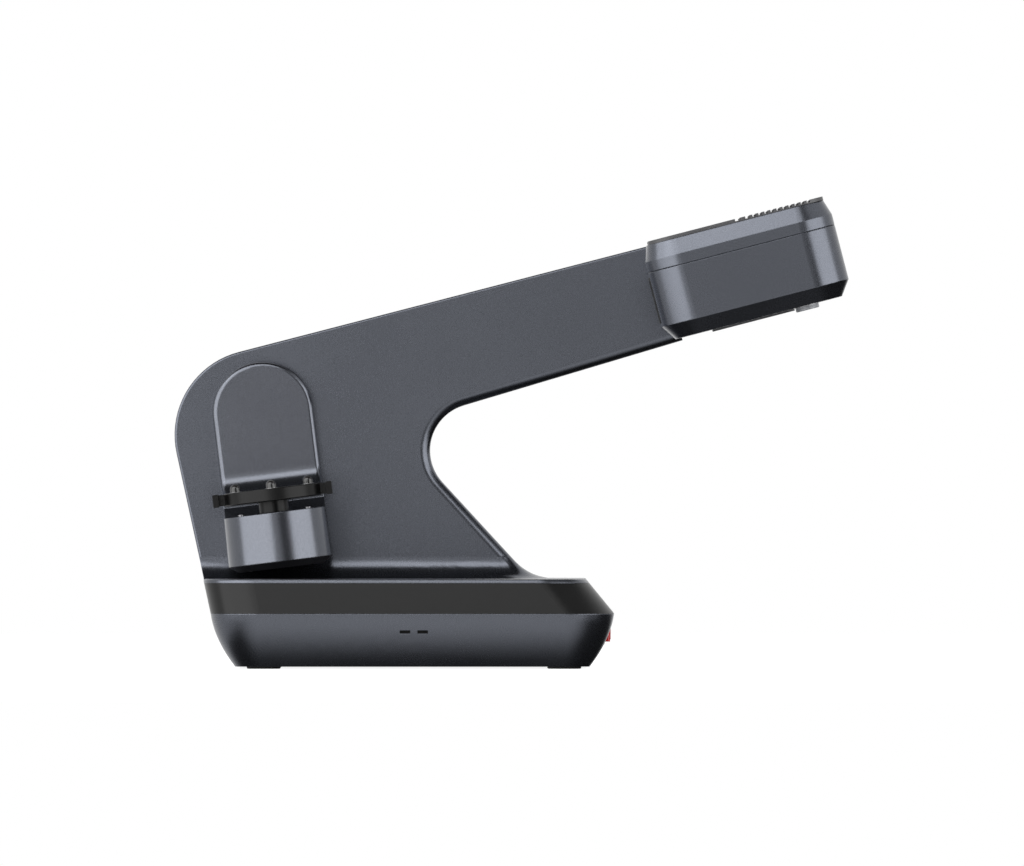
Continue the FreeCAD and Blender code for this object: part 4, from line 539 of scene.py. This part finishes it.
class SCANNER_OT_window(PieceOperator, bpy.types.Operator):
    """Finishes the head's smoked window and sets a gasket round it"""
    bl_idname = "scanner.window"
    bl_label = "Window"

    def execute(self, context):
        sizes = context.scene.scanner_fittings

        def smoked(bench):
            haze = bench.grain(0.02, 3.0)
            return {
                "Base Color": bench.tint(haze, (0.010, 0.011, 0.013, 1), (0.016, 0.017, 0.020, 1)),
                "Roughness": 0.04 + 0.05 * haze,
                "Alpha": 0.62 + 0.10 * haze,
            }
        dressed(["head_window"], finish("smoked window", smoked, {"Coat Weight": 0.4}))
        gasket = border(110 * MM, 25 * MM, sizes.gasket_height, 1.2 * MM, sizes.gasket_rim, 0.15 * MM)
        settle(gasket, "window_gasket", "body", rubber("gasket rubber", (0.012, 0.012, 0.012)),
               (-BACK, HEAD_W, -HEAD_U), [on_head(144.3, -32, 199.5)])
        return {"FINISHED"}


class SCANNER_OT_optics(PieceOperator, bpy.types.Operator):
    """Finishes the cameras, the projector and their bench"""
    bl_idname = "scanner.optics"
    bl_label = "Optics"

    def execute(self, context):
        dressed(["camera_bodies", "projector_body"], anodised("camera black", (0.022, 0.022, 0.024), 0.36))
        dressed(["camera_lenses", "projector_lens"], anodised("lens barrel black", (0.016, 0.016, 0.017), 0.28))
        dressed(["optics_bench"], steel("machined aluminium", (0.62, 0.62, 0.63), 0.34, (1, 0.05, 1)))
        dressed(["heat_sink"], anodised("clear anodised sink", (0.42, 0.42, 0.43), 0.36, worn=0.2))

        def coated_glass(bench):
            haze = bench.grain(0.004, 2.0)
            return {
                "Base Color": bench.tint(haze, (0.010, 0.012, 0.030, 1), (0.030, 0.014, 0.040, 1)),
                "Roughness": 0.02 + 0.03 * haze,
            }
        dressed(["lens_glasses"], finish("coated lens glass", coated_glass, {"Coat Weight": 1.0}))
        return {"FINISHED"}


class SCANNER_OT_fan(PieceOperator, bpy.types.Operator):
    """Finishes the fan under the grille"""
    bl_idname = "scanner.fan"
    bl_label = "Fan"

    def execute(self, context):
        dressed(["fan_frame"], moulded("fan frame black", (0.016, 0.016, 0.017), 0.46))
        dressed(["fan_rotor"], moulded("fan rotor black", (0.022, 0.022, 0.024), 0.36))
        return {"FINISHED"}


class SCANNER_OT_button(PieceOperator, bpy.types.Operator):
    """Finishes the push button under the head, gives its spring a mesh of its own and sets a ring round it"""
    bl_idname = "scanner.button"
    bl_label = "Button"

    def execute(self, context):
        looks = context.scene.scanner_finish
        dressed(["scan_button"], moulded("button silver-grey", looks.button, 0.30, 0.4 * MM, 0.004 * MM))
        dressed(["button_housing"], moulded("button housing black", (0.016, 0.016, 0.017), 0.5))
        dressed(["button_spring"], steel("spring steel", (0.58, 0.58, 0.58), 0.26))
        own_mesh(frame["nodes"]["button_spring"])
        trim = ring(7.75 * MM, 8.7 * MM, 0.45 * MM, 0.12 * MM)
        settle(trim, "button_trim", "body", steel("trim steel", (0.42, 0.42, 0.43), 0.28),
               (-HEAD_U, BACK, -HEAD_W), [on_head(BUTTON_U, BUTTON_Y, HEAD_UNDERSIDE)])
        return {"FINISHED"}


class SCANNER_OT_inlets(PieceOperator, bpy.types.Operator):
    """Finishes the inlets at the back and sets a nut on the supply inlet"""
    bl_idname = "scanner.inlets"
    bl_label = "Inlets"

    def execute(self, context):
        sizes = context.scene.scanner_fittings
        dressed(["connector_panel", "dc_jack"], moulded("inlet black", (0.016, 0.016, 0.017), 0.44))
        dressed(["usb_socket"], steel("nickel plate", (0.60, 0.59, 0.57), 0.24))
        nut = ring(5.75 * MM, sizes.nut_across / 2, sizes.nut_height, 0.25 * MM, 6)
        settle(nut, "supply_inlet_nut", "body", steel("nut steel", (0.50, 0.50, 0.51), 0.30),
               (-RIGHT, UP, BACK), [MM * Vector((-108, 119, 19.6))])
        return {"FINISHED"}


class SCANNER_OT_power_switch(PieceOperator, bpy.types.Operator):
    """Finishes the power rocker and sets grip ridges on it"""
    bl_idname = "scanner.power_switch"
    bl_label = "Power switch"

    def execute(self, context):
        looks = context.scene.scanner_finish
        sizes = context.scene.scanner_fittings
        red = moulded("rocker red", looks.red, 0.22, 0.4 * MM, 0.003 * MM, worn=0.1)
        dressed(["power_rocker"], red)
        dressed(["switch_housing"], moulded("switch housing black", (0.014, 0.014, 0.015), 0.4))
        ridge = begin(bpy.ops.mesh.primitive_cylinder_add, radius=0.45 * MM, depth=8.4 * MM, vertices=20)
        pick("edges", sharp_edge)
        bpy.ops.mesh.bevel(offset=0.3 * MM, segments=3)
        bpy.ops.object.mode_set(mode="OBJECT")
        places = [on_rocker(side * (7.4 - 1.3 * step), -0.2) for side in (-1, 1) for step in range(sizes.ridges)]
        settle(ridge, "rocker_ridges", "rocker", red, (RIGHT, BACK, UP), places)
        return {"FINISHED"}


class SCANNER_OT_indicators(PieceOperator, bpy.types.Operator):
    """Finishes the two indicator windows in the base's front"""
    bl_idname = "scanner.indicators"
    bl_label = "Indicators"

    def execute(self, context):
        dressed(["indicator_windows"], moulded("indicator window black", (0.002, 0.002, 0.002), 0.3, worn=0.0,
                                               fixed={"Specular IOR Level": 0.1}))
        return {"FINISHED"}


class SCANNER_OT_frame(PieceOperator, bpy.types.Operator):
    """Finishes the steel frame in the column and the ballast plate in the base"""
    bl_idname = "scanner.frame"
    bl_label = "Frame"

    def execute(self, context):
        dressed(["column_frame"], moulded("grey powder coat", (0.26, 0.27, 0.28), 0.55, 0.6 * MM, 0.03 * MM))
        dressed(["base_plate"], moulded("black oxide", (0.035, 0.036, 0.040), 0.5, fixed={"Metallic": 0.8}))
        return {"FINISHED"}


class SCANNER_OT_swing_drive(PieceOperator, bpy.types.Operator):
    """Finishes the swing axis: bearings, shaft, motor, pulleys and belt"""
    bl_idname = "scanner.swing_drive"
    bl_label = "Swing drive"

    def execute(self, context):
        dressed(["bearing_housing"], steel("cast aluminium", (0.60, 0.60, 0.61), 0.44, mark=1.2 * MM))
        dressed(["swing_shaft", "swing_bearings"], steel("ground steel", (0.60, 0.60, 0.61), 0.20, (1, 0.1, 1)))
        dressed(["swing_motor"], moulded("motor black", (0.020, 0.020, 0.022), 0.4, fixed={"Metallic": 0.6}))
        dressed(["swing_motor_pulley", "swing_pulley"], steel("pulley aluminium", (0.58, 0.58, 0.60), 0.32))
        dressed(["swing_belt"], rubber("belt rubber", (0.012, 0.012, 0.012)))
        return {"FINISHED"}


class SCANNER_OT_table_drive(PieceOperator, bpy.types.Operator):
    """Finishes the turntable's drive: bearing, motor, gear and pinion"""
    bl_idname = "scanner.table_drive"
    bl_label = "Turntable drive"

    def execute(self, context):
        dressed(["turntable_bearing"], steel("bearing steel", (0.60, 0.60, 0.61), 0.18))
        dressed(["turntable_motor"], steel("motor can", (0.46, 0.46, 0.47), 0.34))
        dressed(["turntable_gear"], moulded("acetal white", (0.70, 0.69, 0.64), 0.38))
        dressed(["turntable_pinion"], steel("brass pinion", (0.62, 0.43, 0.16), 0.28))
        return {"FINISHED"}


class SCANNER_OT_electronics(PieceOperator, bpy.types.Operator):
    """Finishes the circuit boards and what stands on them"""
    bl_idname = "scanner.electronics"
    bl_label = "Electronics"

    def execute(self, context):
        dressed(["main_board", "head_board", "indicator_board"], circuit_board("green board", (0.012, 0.075, 0.034)))
        dressed(["board_components"], moulded("chip black", (0.014, 0.014, 0.015), 0.5, 0.3 * MM))
        dressed(["board_standoffs"], steel("brass standoff", (0.62, 0.43, 0.16), 0.3))
        return {"FINISHED"}


class SCANNER_OT_cable(PieceOperator, bpy.types.Operator):
    """Finishes the cable from the base to the head"""
    bl_idname = "scanner.cable"
    bl_label = "Cable"

    def execute(self, context):
        dressed(["internal_cable"], rubber("cable sleeve", (0.014, 0.014, 0.015)))
        return {"FINISHED"}


class SCANNER_OT_studio(PieceOperator, bpy.types.Operator):
    """Sets up the floor, the lamps, the background and the camera"""
    bl_idname = "scanner.studio"
    bl_label = "Studio"

    def softbox(self, name, radiance, azimuth, elevation, width, height):
        aim = Vector((0, -0.03, 0.15))
        a, e = math.radians(azimuth), math.radians(elevation)
        away = Vector((math.sin(a) * math.cos(e), -math.cos(a) * math.cos(e), math.sin(e)))
        light = bpy.data.lights.new(name, "AREA")
        light.shape = "RECTANGLE"
        light.size, light.size_y = width, height
        light.energy = radiance * math.pi * width * height
        lamp = bpy.data.objects.new(name, light)
        lamp.location = aim + away * LAMP_REACH
        lamp.rotation_euler = away.to_track_quat("Z", "Y").to_euler()
        bpy.context.collection.objects.link(lamp)

    def execute(self, context):
        studio = context.scene.scanner_studio
        context.scene.view_settings.view_transform = "Standard"
        self.softbox("left softbox", studio.left, azimuth=-50, elevation=10, width=3.4, height=1.9)
        self.softbox("right softbox", studio.right, azimuth=58, elevation=10, width=2.4, height=1.9)
        self.softbox("top softbox", studio.top, azimuth=-26, elevation=42, width=2.4, height=1.0)

        world = bpy.data.worlds.new("studio")
        context.scene.world = world
        world.use_nodes = True
        bench = Bench(world.node_tree)
        camera = bench.node("ShaderNodeLightPath", output="Is Camera Ray")
        mirrored = bench.node("ShaderNodeLightPath", output="Is Glossy Ray") + bench.node(
            "ShaderNodeLightPath", output="Is Transmission Ray")
        way = bench.node("ShaderNodeTexCoord", output="Generated")
        x, y, z = (bench.node("ShaderNodeSeparateXYZ", {}, {0: way}, axis) for axis in range(3))
        walls = y.ramp(-0.3, 0.3, studio.front, 1.0)
        gap = x.ramp(0.06, 0.18) * x.ramp(0.40, 0.50, 1.0, 0.0) * y.ramp(-0.1, 0.1, 1.0, 0.0)
        walls = walls * (1 - gap * (1 - studio.gap))
        ceiling = z.ramp(0.70, 0.85) * y.ramp(0.15, 0.45, 1.0, 0.0)
        walls = walls * (1 - ceiling * (1 - studio.above))
        ground = y.ramp(-0.9, -0.3, studio.ground, studio.below)
        ground = ground + y.ramp(0.3, 0.8, 0.0, studio.rear) * x.ramp(0.0, 0.25, 1.0, 0.0)
        low = (z - x * 0.3).ramp(-0.35, -0.15, 1.0, 0.0)
        walls = walls * (1 - low) + ground * low
        level = camera + mirrored * walls + (1 - camera - mirrored) * studio.ambient
        back = bench.node("ShaderNodeBackground", {}, {"Color": (1, 1, 1, 1), "Strength": level})
        bench.node("ShaderNodeOutputWorld", {}, {"Surface": back})

        floor = begin(bpy.ops.mesh.primitive_plane_add, size=7, location=(0, 0.5, 0))
        bpy.ops.object.mode_set(mode="OBJECT")
        floor.name = "floor"
        floor.visible_glossy = False

        material = bpy.data.materials.new("floor paper")
        material.use_nodes = True
        bench = Bench(material.node_tree)
        paper = bench.node("ShaderNodeBsdfDiffuse", {}, {"Color": (0.55, 0.55, 0.56, 1)})
        seen = bench.node("ShaderNodeLightPath", output="Is Camera Ray") * 0.85
        white = bench.node("ShaderNodeEmission", {}, {"Color": (1, 1, 1, 1), "Strength": seen})
        both = bench.node("ShaderNodeAddShader", {}, {0: paper, 1: white})
        bench.node("ShaderNodeOutputMaterial", {}, {"Surface": both})
        floor.data.materials.append(material)

        lens = bpy.data.cameras.new("camera")
        lens.sensor_width = 36
        lens.lens = lens.sensor_width * studio.distance / studio.width
        lens.clip_end = 100
        camera = bpy.data.objects.new("camera", lens)
        camera.location = (0.00047, -0.06 - studio.distance, studio.height)
        camera.rotation_euler = (math.radians(90), 0, 0)
        context.collection.objects.link(camera)
        context.scene.camera = camera
        return {"FINISHED"}


OPERATORS = [
    SCANNER_OT_shells, SCANNER_OT_band, SCANNER_OT_plates, SCANNER_OT_swing_arm, SCANNER_OT_turntable,
    SCANNER_OT_feet, SCANNER_OT_screws, SCANNER_OT_window, SCANNER_OT_optics, SCANNER_OT_fan,
    SCANNER_OT_button, SCANNER_OT_inlets, SCANNER_OT_power_switch, SCANNER_OT_indicators, SCANNER_OT_frame,
    SCANNER_OT_swing_drive, SCANNER_OT_table_drive, SCANNER_OT_electronics, SCANNER_OT_cable,
    SCANNER_OT_studio,
]


class SCANNER_PT_panel(bpy.types.Panel):
    """The scanner's operators and sizes"""
    bl_idname = "SCANNER_PT_panel"
    bl_label = "Desktop 3D Scanner"
    bl_space_type = "VIEW_3D"
    bl_region_type = "UI"
    bl_category = "Scanner"

    def draw(self, context):
        for operator in OPERATORS:
            self.layout.operator(operator.bl_idname)
        for group in (context.scene.scanner_finish, context.scene.scanner_fittings,
                      context.scene.scanner_studio):
            box = self.layout.box()
            for name in group.__annotations__:
                box.prop(group, name)


CLASSES = [FinishSettings, FittingSettings, StudioSettings, *OPERATORS, SCANNER_PT_panel]


def register():
    for item in CLASSES:
        bpy.utils.register_class(item)
    bpy.types.Scene.scanner_finish = PointerProperty(type=FinishSettings)
    bpy.types.Scene.scanner_fittings = PointerProperty(type=FittingSettings)
    bpy.types.Scene.scanner_studio = PointerProperty(type=StudioSettings)


def unregister():
    del bpy.types.Scene.scanner_studio
    del bpy.types.Scene.scanner_fittings
    del bpy.types.Scene.scanner_finish
    for item in reversed(CLASSES):
        bpy.utils.unregister_class(item)


def main():
    register()
    bpy.ops.scanner.shells()
    bpy.ops.scanner.band()
    bpy.ops.scanner.plates()
    bpy.ops.scanner.swing_arm()
    bpy.ops.scanner.turntable()
    bpy.ops.scanner.feet()
    bpy.ops.scanner.screws()
    bpy.ops.scanner.window()
    bpy.ops.scanner.optics()
    bpy.ops.scanner.fan()
    bpy.ops.scanner.button()
    bpy.ops.scanner.inlets()
    bpy.ops.scanner.power_switch()
    bpy.ops.scanner.indicators()
    bpy.ops.scanner.frame()
    bpy.ops.scanner.swing_drive()
    bpy.ops.scanner.table_drive()
    bpy.ops.scanner.electronics()
    bpy.ops.scanner.cable()
    bpy.ops.scanner.studio()


if __name__ == "__main__":
    main()
